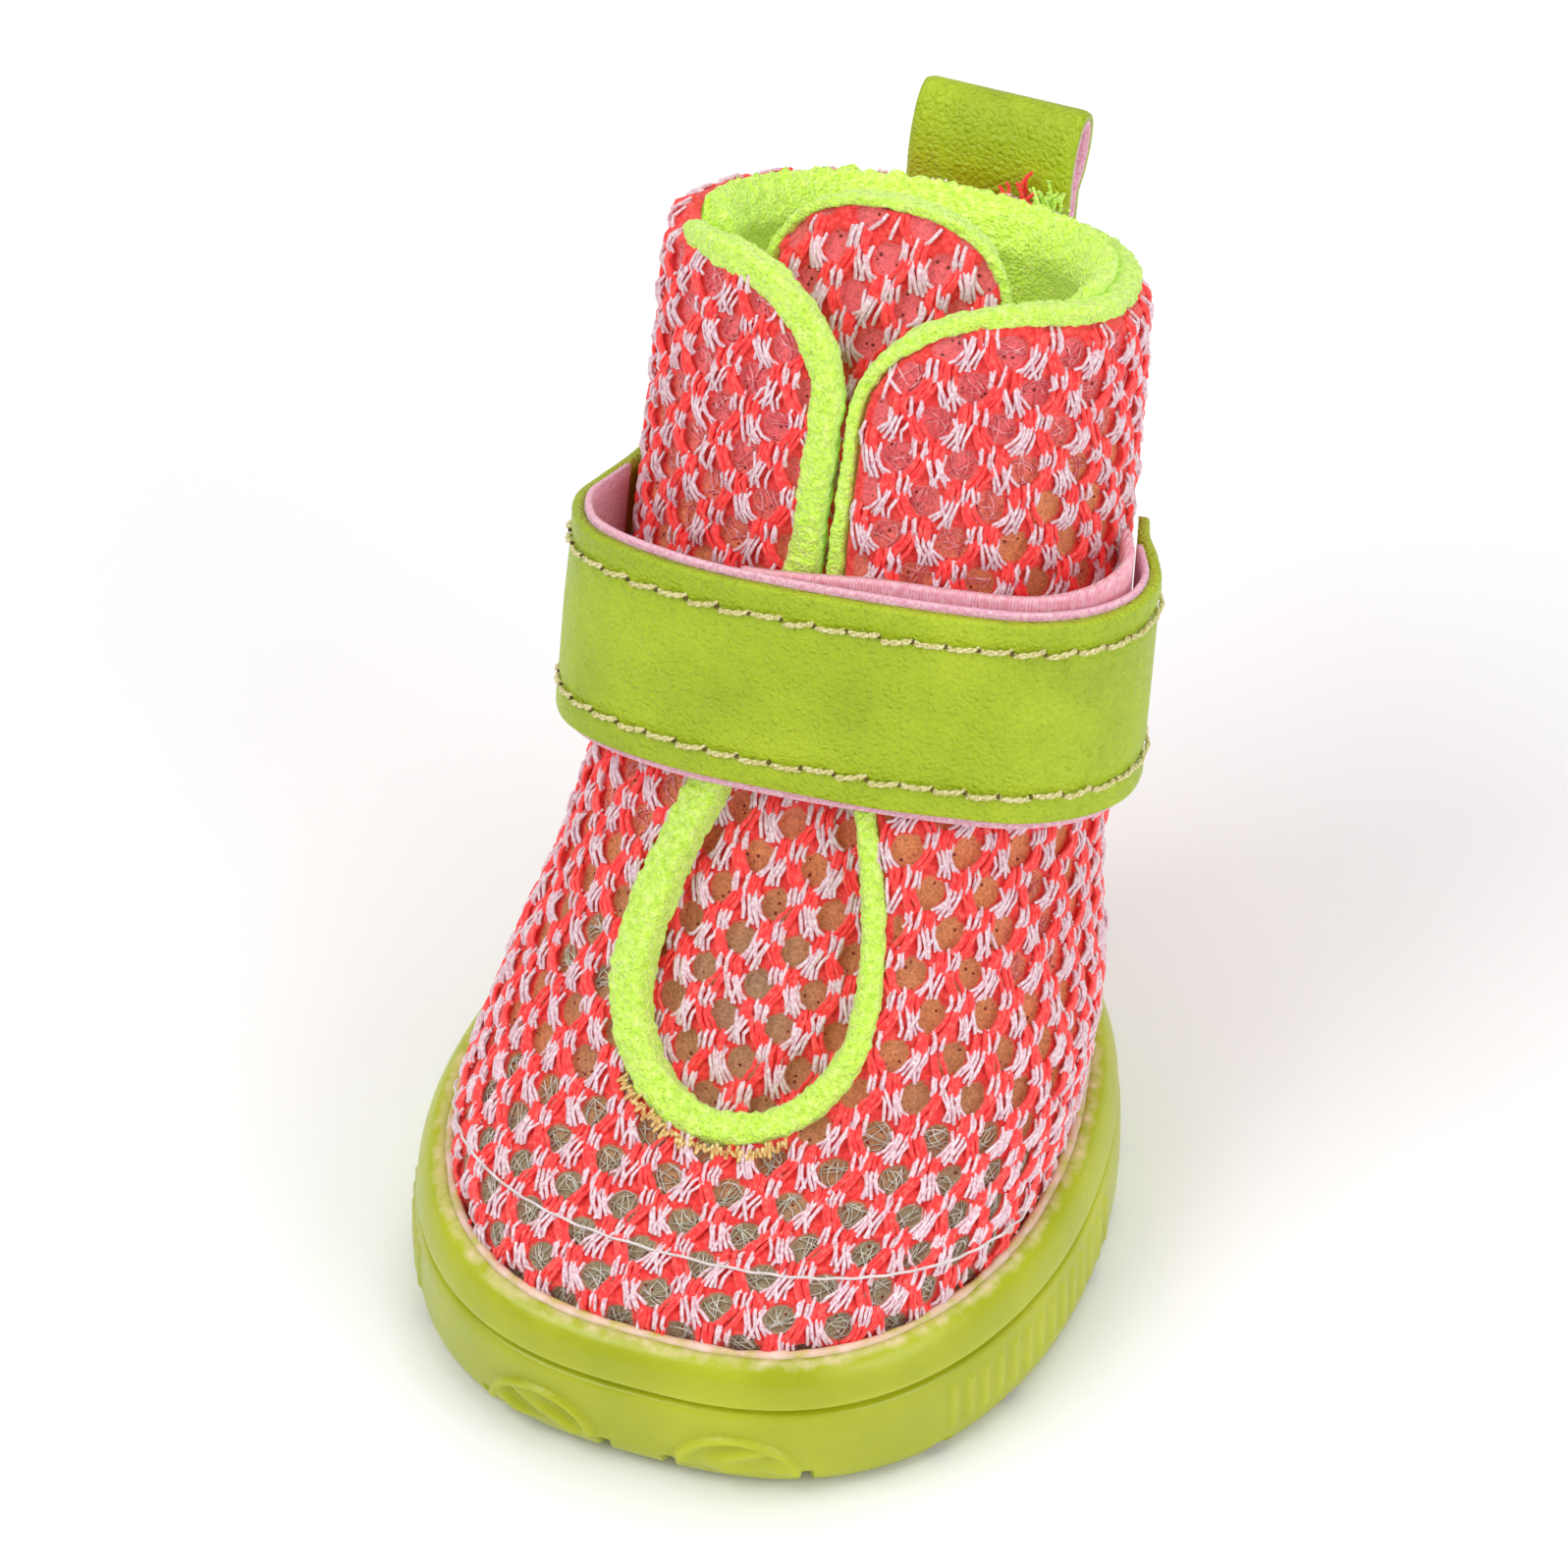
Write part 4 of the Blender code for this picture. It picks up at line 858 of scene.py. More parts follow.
close_border(outer_id[0], inner_id[0])
close_border(outer_id[-1], inner_id[-1])
close_border(outer_id[tip:, 0], inner_id[inner_tip:, 0])
close_border(outer_id[tip:, ACROSS], inner_id[inner_tip:, wide])
all_verts = np.concatenate([outer.reshape(-1, 3), inner.reshape(-1, 3)])
inner_count = inner.shape[0] * inner.shape[1]
layers = {key: np.pad(values.ravel(), (0, inner_count)) for key, values in (("hole", holes), ("zone", zone))}
upper_materials = [ground, terry, backing_knit]
upper = turn_out(add_piece("mesh_upper", all_verts, faces, upper_materials, materials_of, layers))
print("upper", len(upper.data.polygons), "faces,", open_edges(upper), "open edges")
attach(upper, "root")
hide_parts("upper")

# %% [markdown]
# The yarns lie on that ground. Each pillar of the knit shows two wales: one starts with a pair of
# parallel white strands and goes on as a coral bundle, the other starts coral and goes on as a
# splayed white cluster. Every second row is the mirror image. Each strand is a short path in the
# cloth's own (u, v), then laid on the boot. Real strands cast real shadows on each other, which a
# picture of knit on a smooth wall wouldn't.

# %% Strand paths
def strand_table(s):
    """One pillar's strands: colour, then points of (across, down, height) in millimetres."""
    strands = []
    for k in (-1, 1):
        x = 0.66 + 0.31 * k
        strands.append(("white", [(x - 0.04, -1.84, -0.14), (x + 0.04 * k, -1.30, 0.20),
                                  (x, -0.72, 0.24), (x - 0.03, -0.14, -0.06)]))
        strands.append(("white", [(x + 0.10, -1.60, -0.12), (x + 0.17, -1.15, 0.12),
                                  (x + 0.12, -0.70, 0.14), (x + 0.18, -0.30, -0.10)]))
    for k in (0, 1, 2, 3):
        strands.append(("coral", [(0.24 + 0.23 * k, -0.50, -0.10),
                                  (0.38 + 0.23 * k, 0.15, 0.17 + 0.04 * (k % 2)),
                                  (0.70 + 0.23 * k, 0.86 - 0.09 * k, 0.19),
                                  (1.22 + 0.20 * k, 1.60 - 0.11 * k, -0.06)]))
    for k in (-1.5, -0.5, 0.5, 1.5):
        x = 0.235 * k - 0.30
        strands.append(("coral", [(x - 0.04, -1.62, -0.12), (x + 0.03, -1.08, 0.15),
                                  (x - 0.03, -0.60, 0.18), (x + 0.06 * k, 0.02, -0.06)]))
    cluster = (
        ((-0.98, -0.62, -0.10), (-0.84, 0.10, 0.24), (-0.62, 0.82, 0.28), (-0.44, 1.62, -0.05)),
        ((-0.62, -0.86, -0.08), (-0.66, -0.10, 0.26), (-0.92, 0.66, 0.26), (-1.40, 1.34, -0.08)),
        ((-0.36, -0.70, -0.08), (-0.50, 0.05, 0.32), (-0.80, 0.80, 0.33), (-1.12, 1.62, -0.05)),
        ((0.10, -0.66, -0.08), (-0.14, 0.06, 0.28), (-0.42, 0.84, 0.30), (-0.76, 1.56, -0.05)),
        ((0.36, -0.34, -0.08), (0.10, 0.24, 0.22), (-0.10, 0.78, 0.24), (-0.16, 1.46, -0.06)),
        ((-0.64, -0.16, -0.02), (-0.98, 0.34, 0.20), (-1.30, 0.76, 0.18), (-1.76, 1.12, -0.08)),
    )
    strands += [("white", points) for points in cluster]
    return [(colour, [(s * x, y, z) for x, y, z in points]) for colour, points in strands]


STRANDS = strand_table(-1), strand_table(1)  # for the even and the odd rows
JITTER, BEND = 0.08 * MM, 0.06 * MM
KNIT_FOOT = 8 * MM  # strands stop here, hidden behind the cup's wall


def lay_strands(u_range, v_range, lay):
    """Paths of all strands over an area of cloth, by colour, as arrays of four points."""
    found = {"white": [], "coral": []}
    first_row = int(math.floor((v_range[0] - ROW_PHASE) / ROW_PITCH))
    last_row = int(math.ceil((v_range[1] - ROW_PHASE) / ROW_PITCH))
    for r in range(first_row, last_row + 1):
        stagger = PITCH / 2 + (r % 2) * PITCH / 2
        low = int(math.floor((u_range[0] - stagger) / PITCH))
        high = int(math.ceil((u_range[1] - stagger) / PITCH))
        centres = (np.arange(low, high + 1)) * PITCH + stagger
        for colour, path in STRANDS[r % 2]:
            jitter = random.normal(0, JITTER, (len(centres), 1, 3)) * (1, 1, 0.5)
            bend = random.normal(0, BEND, (len(centres), 4, 3)) * (1, 1, 0.6)
            p = (np.array(path) * MM)[None] + jitter + bend
            p[..., 0] += centres[:, None]
            p[..., 1] += ROW_PHASE + r * ROW_PITCH
            found[colour].append(p)
    result = {}
    for colour, groups in found.items():
        points, ok = lay(*np.moveaxis(np.concatenate(groups), -1, 0))
        ok = ok & (points[..., 2] > KNIT_FOOT)
        result[colour] = points[ok.all(axis=1)]
    return result


def lay_on_upper(u, v, height):
    """Lays cloth points on the upper, and says which lie on the cloth, clear of throat and seam."""
    angle, row = cloth_place(u, v)
    half_round = np.interp(row, GRID_ROWS, grid_u[:, -1])
    surface = form(angle, row)
    distance = from_edge(surface, angle, row, v)
    points = surface + form_normal(angle, row) * (height - edge_sink(distance, row))[..., None]
    ok = (np.abs(u) < half_round + 0.2 * MM) & (distance > -0.3 * MM) & (row > 0.75)
    return points, ok


upper_strands = lay_strands((-96 * MM, 96 * MM), (0.0, 84 * MM), lay_on_upper)
print({k: len(p) for k, p in upper_strands.items()}, "strands on the upper")

# %% [markdown]
# Geometry Nodes turn the paths into yarn: each chain of edges becomes a curve, a small circle is
# swept along it, and the result is real mesh. The same tree, with other sizes, makes every thread.

# %% Yarn tree
def yarn_tree():
    tree = bpy.data.node_groups.new("yarn_from_paths", "GeometryNodeTree")
    sockets = (("Paths", "Geometry"), ("Yarn radius", "Float"), ("Sides", "Int"), ("Finish", "Material"))
    for name, kind in sockets:
        tree.interface.new_socket(name, in_out="INPUT", socket_type="NodeSocket" + kind)
    tree.interface.new_socket("Yarn", in_out="OUTPUT", socket_type="NodeSocketGeometry")
    start, curves, circle, tube, shaded, realize, finish, end = [tree.nodes.new(kind) for kind in (
        "NodeGroupInput", "GeometryNodeMeshToCurve", "GeometryNodeCurvePrimitiveCircle",
        "GeometryNodeCurveToMesh", "GeometryNodeSetShadeSmooth", "GeometryNodeRealizeInstances",
        "GeometryNodeSetMaterial", "NodeGroupOutput")]
    tube.inputs["Fill Caps"].default_value = True
    for source, output, target, socket in (
            (start, "Paths", curves, "Mesh"),
            (start, "Yarn radius", circle, "Radius"),
            (start, "Sides", circle, "Resolution"),
            (curves, "Curve", tube, "Curve"),
            (circle, "Curve", tube, "Profile Curve"),
            (tube, "Mesh", shaded, "Geometry"),
            (shaded, "Geometry", realize, "Geometry"),
            (realize, "Geometry", finish, "Geometry"),
            (start, "Finish", finish, "Material"),
            (finish, "Geometry", end, "Yarn")):
        tree.links.new(source.outputs[output], target.inputs[socket])
    return tree


YARN_TREE = yarn_tree()
SOCKETS = {s.name: s.identifier for s in YARN_TREE.interface.items_tree if s.in_out == "INPUT"}


def spin_yarn(name, paths, radius, sides, finish):
    """One mesh of yarn from many open paths, each an array of points."""
    verts, edges = [], []
    for path in paths:
        base = len(verts)
        verts.extend(map(tuple, path))
        edges.extend((base + i, base + i + 1) for i in range(len(path) - 1))
    obj = add_piece(name, verts, [], [], edges=edges)
    nodes = obj.modifiers.new("yarn", "NODES")
    nodes.node_group = YARN_TREE
    nodes[SOCKETS["Yarn radius"]] = radius
    nodes[SOCKETS["Sides"]] = sides
    nodes[SOCKETS["Finish"]] = finish.material
    apply_modifiers(obj)
    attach(obj, "root")
    print(name, len(paths), "paths,", triangles(obj), "triangles")


FRONT_END = 9 * MM  # strands that start further back belong to the back pieces
for colour, radius, finish in (("white", WHITE_RADIUS, lilac), ("coral", YARN_RADIUS, coral)):
    paths = upper_strands[colour]
    in_front = paths[:, 0, 1] < FRONT_END
    spin_yarn("upper_" + colour + "_yarn_front", paths[in_front], radius, 4, finish)
    spin_yarn("upper_" + colour + "_yarn_back", paths[~in_front], radius, 4, finish)

# %% [markdown]
# Behind the holes lie fine spacer fibres that cross in all directions: pink further up, and by the
# sole grey-green, which is white fibre painted in shade with a green reflection of the sole. They are
# threads of the same tree, because each one catches the light by itself.

# %% Spacer fibres
FIBRE_RADIUS, FIBRE_REACH, FIBRE_SPREAD, FIBRE_BOW = 0.055 * MM, 1.0 * MM, 0.42 * MM, 0.3 * MM
WIDEST_ANGLE = 1.9  # fibres are laid from the toe to just past the boot's sides
fibre_paths = {"grey": [], "pink": []}
t = np.linspace(-1, 1, 4)
for r in range(-1, 30):
    for c in range(-16, 17):
        u, v = c * PITCH + (r % 2) * PITCH / 2, np.array([ROW_PHASE + r * ROW_PITCH])
        angle, row = cloth_place(np.array([u]), v)
        hole_middle = form(angle, row)
        open_cloth = from_edge(hole_middle, angle, row, v)[0] > 1.3 * MM
        if not open_cloth or abs(angle[0]) > WIDEST_ANGLE or hole_middle[0, 2] < RIM_HEIGHT - MM:
            continue
        hole_zone = zone_of(hole_middle, v)[0]
        # the grey-green fibres by the sole are painted shade and a painted green reflection
        colour, amount = ("grey", 8) if hole_zone > 0.7 else ("pink", 5)
        if colour == "pink" and hole_zone > 0.3:
            continue
        for _ in range(amount):
            turn, off = random.uniform(0, math.pi), random.normal(0, FIBRE_SPREAD)
            along_it = FIBRE_REACH * t
            across_it = off + FIBRE_BOW * random.normal(0, 1) * (1 - t ** 2)
            du = along_it * math.cos(turn) - across_it * math.sin(turn)
            dv = along_it * math.sin(turn) + across_it * math.cos(turn)
            depth = (0.50 - 0.20 * (1 - t ** 2) * random.uniform(0, 1)) * MM
            fibre_paths[colour].append(skin(*cloth_place(u + du, v + dv), depth))
spin_yarn("grey_spacer_fibres", fibre_paths["grey"], FIBRE_RADIUS, 3, shaded_white_fibre)
spin_yarn("pink_spacer_fibres", fibre_paths["pink"], FIBRE_RADIUS, 3, pink_fibre)

# %% [markdown]
# The tongue is a sheet of the same mesh under the throat, leaning in towards the collar. It is
# built the same way: ground, yarns, and a terry tape round its top.

# %% Tongue
TONGUE_THICKNESS, TONGUE_HALF_WIDTH, TONGUE_ROUND = 1.8 * MM, 12.0 * MM, 8.5 * MM
TONGUE_ABOVE, TONGUE_UNDER = 3.4 * MM, 5.0 * MM
TONGUE_INSET = 0.8 * MM  # the cloth's edge lies this far inside the tongue's outline


def tongue_depth(length):
    """Depth of the tongue's face below the form: it leans in towards the collar."""
    start = COLLAR_LENGTH * 0.62
    share = np.maximum(0.0, (length - start) / (COLLAR_LENGTH - start))
    return WALL + 2 * FIT + 3.6 * MM * share ** 2


def tongue_half(length, inset):
    """Half the tongue's width at a length, moved in by an inset."""
    top = COLLAR_LENGTH + TONGUE_ABOVE - inset
    part = np.maximum(0.0, (length - (top - TONGUE_ROUND)) / TONGUE_ROUND)
    return (TONGUE_HALF_WIDTH - inset) * np.sqrt(np.maximum(0.0, 1 - part ** 2.8))


def tongue_skin(x, length, depth):
    row = row_at(length)
    return skin(angle_at(x, row), row, tongue_depth(length) + depth)


tongue_top = COLLAR_LENGTH + TONGUE_ABOVE - TONGUE_INSET
straight = np.linspace(THROAT_START - TONGUE_UNDER, tongue_top - TONGUE_ROUND, 130)
rounded = tongue_top - TONGUE_ROUND * (1 - np.sin(np.linspace(0, math.pi / 2, 26)[1:-1]))
lengths = np.concatenate([straight, rounded, [tongue_top - TONGUE_ROUND * 0.012]])[:, None]
across = np.linspace(-1, 1, 71)[None, :]
sides = tongue_half(lengths, TONGUE_INSET) * across
knit_v = COLLAR_LENGTH - lengths
tongue_holes = hole_depth(sides, knit_v)
flat = tongue_skin(sides, lengths, 0.0)
tongue_relief = KNIT_SINK + 0.5 * MM * tongue_holes - FUZZ * field(flat, 0.3 * MM, 5)
front = tongue_skin(sides, lengths, tongue_relief)
back = tongue_skin(sides, lengths, TONGUE_THICKNESS)
rings = np.concatenate([front, back[:, ::-1]], axis=1)
zeros = np.zeros_like(tongue_holes)
tongue = loft("mesh_tongue", rings, [ground, backing_knit], attributes={
    "hole": np.concatenate([tongue_holes, zeros], axis=1).ravel(),
    "zone": np.concatenate([zone_of(flat, knit_v), zeros], axis=1).ravel()})
for polygon in tongue.data.polygons:
    at_back = min(v % rings.shape[1] for v in polygon.vertices) >= across.shape[1]
    polygon.material_index = 1 if at_back else 0
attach(tongue, "root")
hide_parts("tongue")


def lay_on_tongue(u, v, height):
    length = COLLAR_LENGTH - v
    points = tongue_skin(u, length, -height)
    ok = (np.abs(u) < tongue_half(length, TONGUE_INSET) + 0.1 * MM) & (length > THROAT_START - 3 * MM)
    return points, ok & (length < tongue_top + 0.1 * MM)


tongue_strands = lay_strands((-13 * MM, 13 * MM), (-4 * MM, 66 * MM), lay_on_tongue)
spin_yarn("tongue_white_yarn", tongue_strands["white"], YARN_RADIUS, 4, lilac)
spin_yarn("tongue_coral_yarn", tongue_strands["coral"], YARN_RADIUS, 4, coral)

# %% [markdown]
# Terry tape is folded over each raw edge and sewn down. One long tape goes up a flap, round the
# collar and down the other flap. Its section is a rounded oblong swept along the edge, and its
# loops are small uneven swellings of that surface. No cloth simulation is needed, because the tape
# is held all along and can't fall.

# %% Tapes
def sweep(points, normals, sections, close):
    """Rings of a tape along a path; sections hold (along the surface, out of it)."""
    if close:
        tangents = unit(np.roll(points, -1, axis=0) - np.roll(points, 1, axis=0))
    else:
        tangents = unit(np.gradient(points, axis=0))
    side = unit(np.cross(tangents, normals))
    lift = unit(np.cross(side, tangents))
    return points[:, None] + side[:, None] * sections[..., 0:1] + lift[:, None] * sections[..., 1:2]


def oblong(width, thickness, count):
    """Sections of a tape: a rounded oblong of each width and thickness."""
    a = np.linspace(0, 2 * math.pi, count, endpoint=False)
    circle = np.stack([np.cos(a), np.sin(a)], -1)
    size = np.stack([width, thickness], -1)
    return size[:, None] / 2 * (np.sign(circle) * np.abs(circle) ** 0.55)


def at_lengths(at, length, values):
    """Columns of values at chosen lengths along a path."""
    return np.stack([np.interp(at, length, column) for column in values.T], -1)


def even(points, others, spacing, close):
    """The same path, and values that go with it, at an even spacing."""
    chains = [np.concatenate([o, o[:1]]) if close else o for o in [points] + others]
    length = path_length(chains[0])
    at = np.linspace(0, length[-1], int(length[-1] / spacing), endpoint=not close)
    chains = [at_lengths(at, length, chain) for chain in chains]
    return chains[0], chains[1:]


def terry_relief(rings, amount, seed):
    """Pushes a tape's surface in and out by its loops."""
    centre = rings.mean(axis=1, keepdims=True)
    swell = 0.6 * field(rings, 0.34 * MM, seed) + 0.4 * field(rings, 0.7 * MM, seed + 1)
    return rings + unit(rings - centre) * (amount * swell)[..., None]


# the stages are: round end, arm, slit, end of the corner, a little past it, back; the rows of each
# table are the tape's width, its middle's depth and its thickness in millimetres
STAGES = (0.0, 1.0, 2.0, 3.0, 3.25, 4.0)
TAPE_LEFT = ((2.3, 2.8, 2.0, 2.2, 1.2, 1.2), (0.75, 0.60, 0.65, 0.90, 1.80, 1.80),
             (2.6, 2.5, 2.3, 2.0, 1.6, 1.6))
TAPE_RIGHT = ((2.3, 1.7, 0.9, 1.4, 1.3, 1.2), (0.75, 0.80, 1.25, 1.15, 1.25, 1.80),
              (2.6, 2.4, 1.9, 1.8, 1.7, 1.6))
OUTER_EDGE = 1.55 * MM  # the tape's outer edge lies this far past the cloth's
ROUTE_STEPS = (60, 120, 60, 219)  # round end, taper, corner, and round the collar to the back


def tape_side(sign, table):
    """Path of the tape up one flap and round the collar to the back, with its measures."""
    x, length = throat_half(*ROUTE_STEPS[:3], CORNER_WIDTH if sign > 0 else LEFT_CORNER_WIDTH)
    row, share = row_at(length), corner_share(length)
    angle = angle_at(x, row)
    back = np.linspace(angle[-1], math.pi, ROUTE_STEPS[3] + 1)[1:]
    stage = np.concatenate([[0.0]] + [np.linspace(k, k + 1, n + 1)[1:] for k, n in enumerate(ROUTE_STEPS)])
    angle, share = np.concatenate([angle, back]), np.concatenate([share, np.ones(len(back))])
    row = mesh_edge(angle, np.concatenate([row, np.full(len(back), TOP)]), share)
    width, depth, thickness = [np.interp(stage, STAGES, values) * MM for values in table]
    # millimetres that the outer edge draws back: by the slit, behind the left corner, at the back
    sunk = (0.35 * (sign > 0) * np.exp(-((stage - 2) / 0.5) ** 2)
            + np.interp(stage, (3.0, 3.2, 3.9, 4.0), (0.0, 0.9 * (sign < 0), 0.9 * (sign < 0), 0.9)))
    reach = OUTER_EDGE - sunk * MM
    return np.stack([sign * angle, row, width, depth, thickness, reach], -1)


TAPE_STEP, TONGUE_TAPE_STEP = 0.17 * MM, 0.15 * MM
right, left = tape_side(1, TAPE_RIGHT), tape_side(-1, TAPE_LEFT)
route = np.concatenate([right, left[1:-1][::-1]])
tape_line = skin(route[:, 0], route[:, 1], route[:, 3])
tape_normals = form_normal(route[:, 0], route[:, 1])
tape_line, (tape_normals, sizes) = even(tape_line, [tape_normals, route[:, 2:]], TAPE_STEP, True)
wobble = 1 + 0.07 * field(tape_line, 1.6 * MM, 15)
section = oblong(sizes[:, 0] * wobble, sizes[:, 2], 30)
section[..., 0] = -(section[..., 0] + (sizes[:, 3] - sizes[:, 0] / 2)[:, None])
tape_rings = sweep(tape_line, unit(tape_normals), section, True)
edge_tape = loft("edge_tape", terry_relief(tape_rings, 0.24 * MM, 21), [terry], True)
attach(edge_tape, "root")
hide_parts("edge_binding")

TONGUE_TAPE_WIDTH, TONGUE_TAPE_THICKNESS = 0.8 * MM, 2.0 * MM
TONGUE_TAPE_INSET = 0.45 * MM  # the tape's middle line lies this far inside the tongue's outline
top = COLLAR_LENGTH + TONGUE_ABOVE
round_start = top - TONGUE_TAPE_INSET - TONGUE_ROUND
tape_lengths = np.concatenate([
    np.linspace(top - TONGUE_ROUND * 1.9, round_start, 40)[:-1],
    top - TONGUE_TAPE_INSET - TONGUE_ROUND * (1 - np.sin(np.linspace(0, math.pi / 2, 90)))])
tape_sides = tongue_half(tape_lengths, TONGUE_TAPE_INSET)
tape_lengths = np.concatenate([tape_lengths, tape_lengths[:-1][::-1]])
tape_sides = np.concatenate([tape_sides, -tape_sides[:-1][::-1]])
line = tongue_skin(tape_sides, tape_lengths, TONGUE_THICKNESS / 2)
normals = form_normal(angle_at(tape_sides, row_at(tape_lengths)), row_at(tape_lengths))
line, (normals,) = even(line, [normals], TONGUE_TAPE_STEP, False)
to_end = np.minimum(np.arange(len(line)), np.arange(len(line))[::-1])
taper = np.minimum(1.0, to_end / 6 + 0.3)
section = oblong(TONGUE_TAPE_WIDTH * taper, TONGUE_TAPE_THICKNESS * taper, 32)
tape_rings = sweep(line, unit(normals), section, False)
tongue_tape = loft("tongue_tape", terry_relief(tape_rings, 0.22 * MM, 31), [terry])
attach(tongue_tape, "root")
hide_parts("tongue_binding")

# %% [markdown]
# Behind the tongue the shaft is lined with a thick fold of terry. It is a pad from side to side
# round the back, fullest just under the collar's tape. Rings across the pad, joined round the back,
# give it that swell where it is wanted, and two fields of noise its loops and its slight lumps.

# %% Collar lining
LINING_DEPTH, LINING_BULGE = 15.0 * MM, 2.0 * MM
LINING_ABOVE, LINING_START = 0.7 * MM, math.radians(72)
FACE_POINTS = 56
lining_angles = np.linspace(LINING_START, 2 * math.pi - LINING_START, 220)
t = np.linspace(0, 1, FACE_POINTS)
lining_rings = []
for angle in lining_angles:
    turned = math.atan2(math.sin(angle), math.cos(angle))
    rate = row_length(turned, TOP)
    end = min(1.0, (angle - lining_angles[0]) * 6 + 0.15, (lining_angles[-1] - angle) * 6 + 0.15)
    inner_rows = TOP + (LINING_ABOVE - (LINING_ABOVE + LINING_DEPTH) * t) / rate
    fullness = np.sin(math.pi * np.minimum(t * 2.6, 0.5 + t * 0.5))
    inner_side = skin(turned, inner_rows, WALL + 0.45 * MM + LINING_BULGE * end * fullness)
    # the pad's back lies against the wall and has every fifth of its face's rows
    outer_rows = TOP + (0.4 * MM - (0.2 * MM + LINING_DEPTH) * t[::5][::-1]) / rate
    outer_side = skin(turned, outer_rows, WALL + 0.12 * MM)
    lining_rings.append(np.concatenate([inner_side, outer_side]))
lining_rings = np.array(lining_rings)
loops = 0.34 * MM * field(lining_rings, 0.5 * MM, 51) + 0.25 * MM * field(lining_rings, 2.2 * MM, 52)
toward = unit(lining_rings.mean(axis=1, keepdims=True) - lining_rings)
lining_rings[:, :FACE_POINTS] += (toward * loops[..., None])[:, :FACE_POINTS]
# its terry is the brighter copy, with painted light against the shade in the shaft
lining = loft("terry_lining", lining_rings, [lit_lining_terry])
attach(lining, "root")

# %% [markdown]
# A clear thread runs over the toe where the inner layers are sewn, and a golden bar tack holds the
# tape's round end. A few loose yarn ends stand at the back seam, as on the real boot. All of them
# are paths for the yarn tree: a line, a zigzag in short overlapping pieces, and random sprays.

# %% Toe thread, bar tack and loose ends
TOE_THREAD_TOP = 5.4 * MM  # how far up the front line the thread runs
angles = np.radians(np.linspace(-74, 80, 160))
over = np.cos(angles / 0.94) ** 0.52
thread_rows = RIM_ROW + (row_at(TOE_THREAD_TOP) - RIM_ROW) * over
thread_lift = 0.42 * MM + 0.10 * MM * np.sin(np.arange(160) * 0.9)
spin_yarn("toe_thread", [skin(angles, thread_rows, -thread_lift)], 0.10 * MM, 8, nylon)

TACK_POINTS = 96
turns = np.linspace(-0.78, 0.55, TACK_POINTS)
zigzag = 0.55 * MM * (np.arange(TACK_POINTS) % 2)
outward = 1.1 * MM + zigzag + random.normal(0, 0.24 * MM, TACK_POINTS)
tack_sides = (THROAT_HALF_WIDTH + outward) * np.sin(turns)
tack_rows = row_at(THROAT_START + THROAT_ROUND - (THROAT_ROUND + outward) * np.cos(turns))
tack_lift = 0.40 * MM + random.normal(0, 0.12 * MM, TACK_POINTS)
tack = skin(angle_at(tack_sides, tack_rows), tack_rows, -tack_lift)
tack_paths = [tack[i:i + 3] for i in range(TACK_POINTS - 3)]
spin_yarn("bar_tack", tack_paths, 0.13 * MM, 6, golden)


def tuft(name, angle, length, count, reach, radius, finish):
    """Loose yarn ends that stand out of the collar's edge."""
    paths = []
    row = row_at(COLLAR_LENGTH + length)
    base, up = form(angle, row), unit(form(angle, row + 0.05) - form(angle, row))
    t = np.linspace(0, 1, 6)[:, None]
    for _ in range(count):
        lean = unit(up + random.normal(0, 0.55, 3))
        bend = random.normal(0, 0.5, 3)
        start = base + random.normal(0, 0.55 * MM, 3) - form_normal(angle, row) * 0.9 * MM
        paths.append(start + lean * t * reach + bend * t ** 2 * reach * 0.5)
    spin_yarn(name, paths, radius, 5, finish)


tuft("loose_coral_ends", 3.02, -0.4 * MM, 14, 1.2 * MM, 0.13 * MM, coral)
tuft("loose_terry_ends", 2.90, -0.4 * MM, 34, 1.1 * MM, 0.12 * MM, terry)

# %% [markdown]
# The strap is a band of grained synthetic leather with rounded edges, backed by felt that shows as
# a thin pink line past each edge. It follows a ring in plan that stands off the shaft at the side.
# A curve with a bevel could make it too, but rings of points let its face swell between the rows
# of stitches, and the felt and the webbing are laid on the same ring, each at its own depth.

# %% Strap
STRAP_WIDTH, STRAP_THICKNESS = 15.0 * MM, 0.8 * MM
BACKING_THICKNESS, WEBBING_THICKNESS = 0.5 * MM, 0.6 * MM
STRAP_HALF_SPAN = BALL_WIDTH / 2 - 0.7 * MM
STRAP_CENTRE = np.array([0.0, 0.458 * UPPER_LENGTH, 0.6 * SHAFT_HEIGHT])
STRAP_LEAN, STRAP_END_FLARE = math.radians(13.5), 0.45 * MM
STRAP_DROOP = 1.5 * MM  # its end on the image's left hangs a little
STITCH_INSET, EDGE_ROUND = 2.1 * MM, 0.25 * MM
SIDEWAYS = np.array([1.0, 0.0, 0.0])
FORWARD = np.array([0.0, -math.cos(STRAP_LEAN), math.sin(STRAP_LEAN)])
UPWARD = np.array([0.0, math.sin(STRAP_LEAN), math.cos(STRAP_LEAN)])
# the ring in plan, sideways and forward, in shares of its half span
RING = np.array((
    (-0.900, -0.100), (-0.902, 0.020), (-0.908, 0.153), (-0.926, 0.320), (-0.940, 0.490), (-0.893, 0.653),
    (-0.796, 0.786), (-0.622, 0.872), (-0.357, 0.913), (-0.051, 0.898), (0.255, 0.857), (0.561, 0.796),
    (0.796, 0.719), (0.969, 0.577), (1.061, 0.398), (1.066, 0.214), (1.005, 0.051), (0.940, -0.080),
    (0.912, -0.200)))


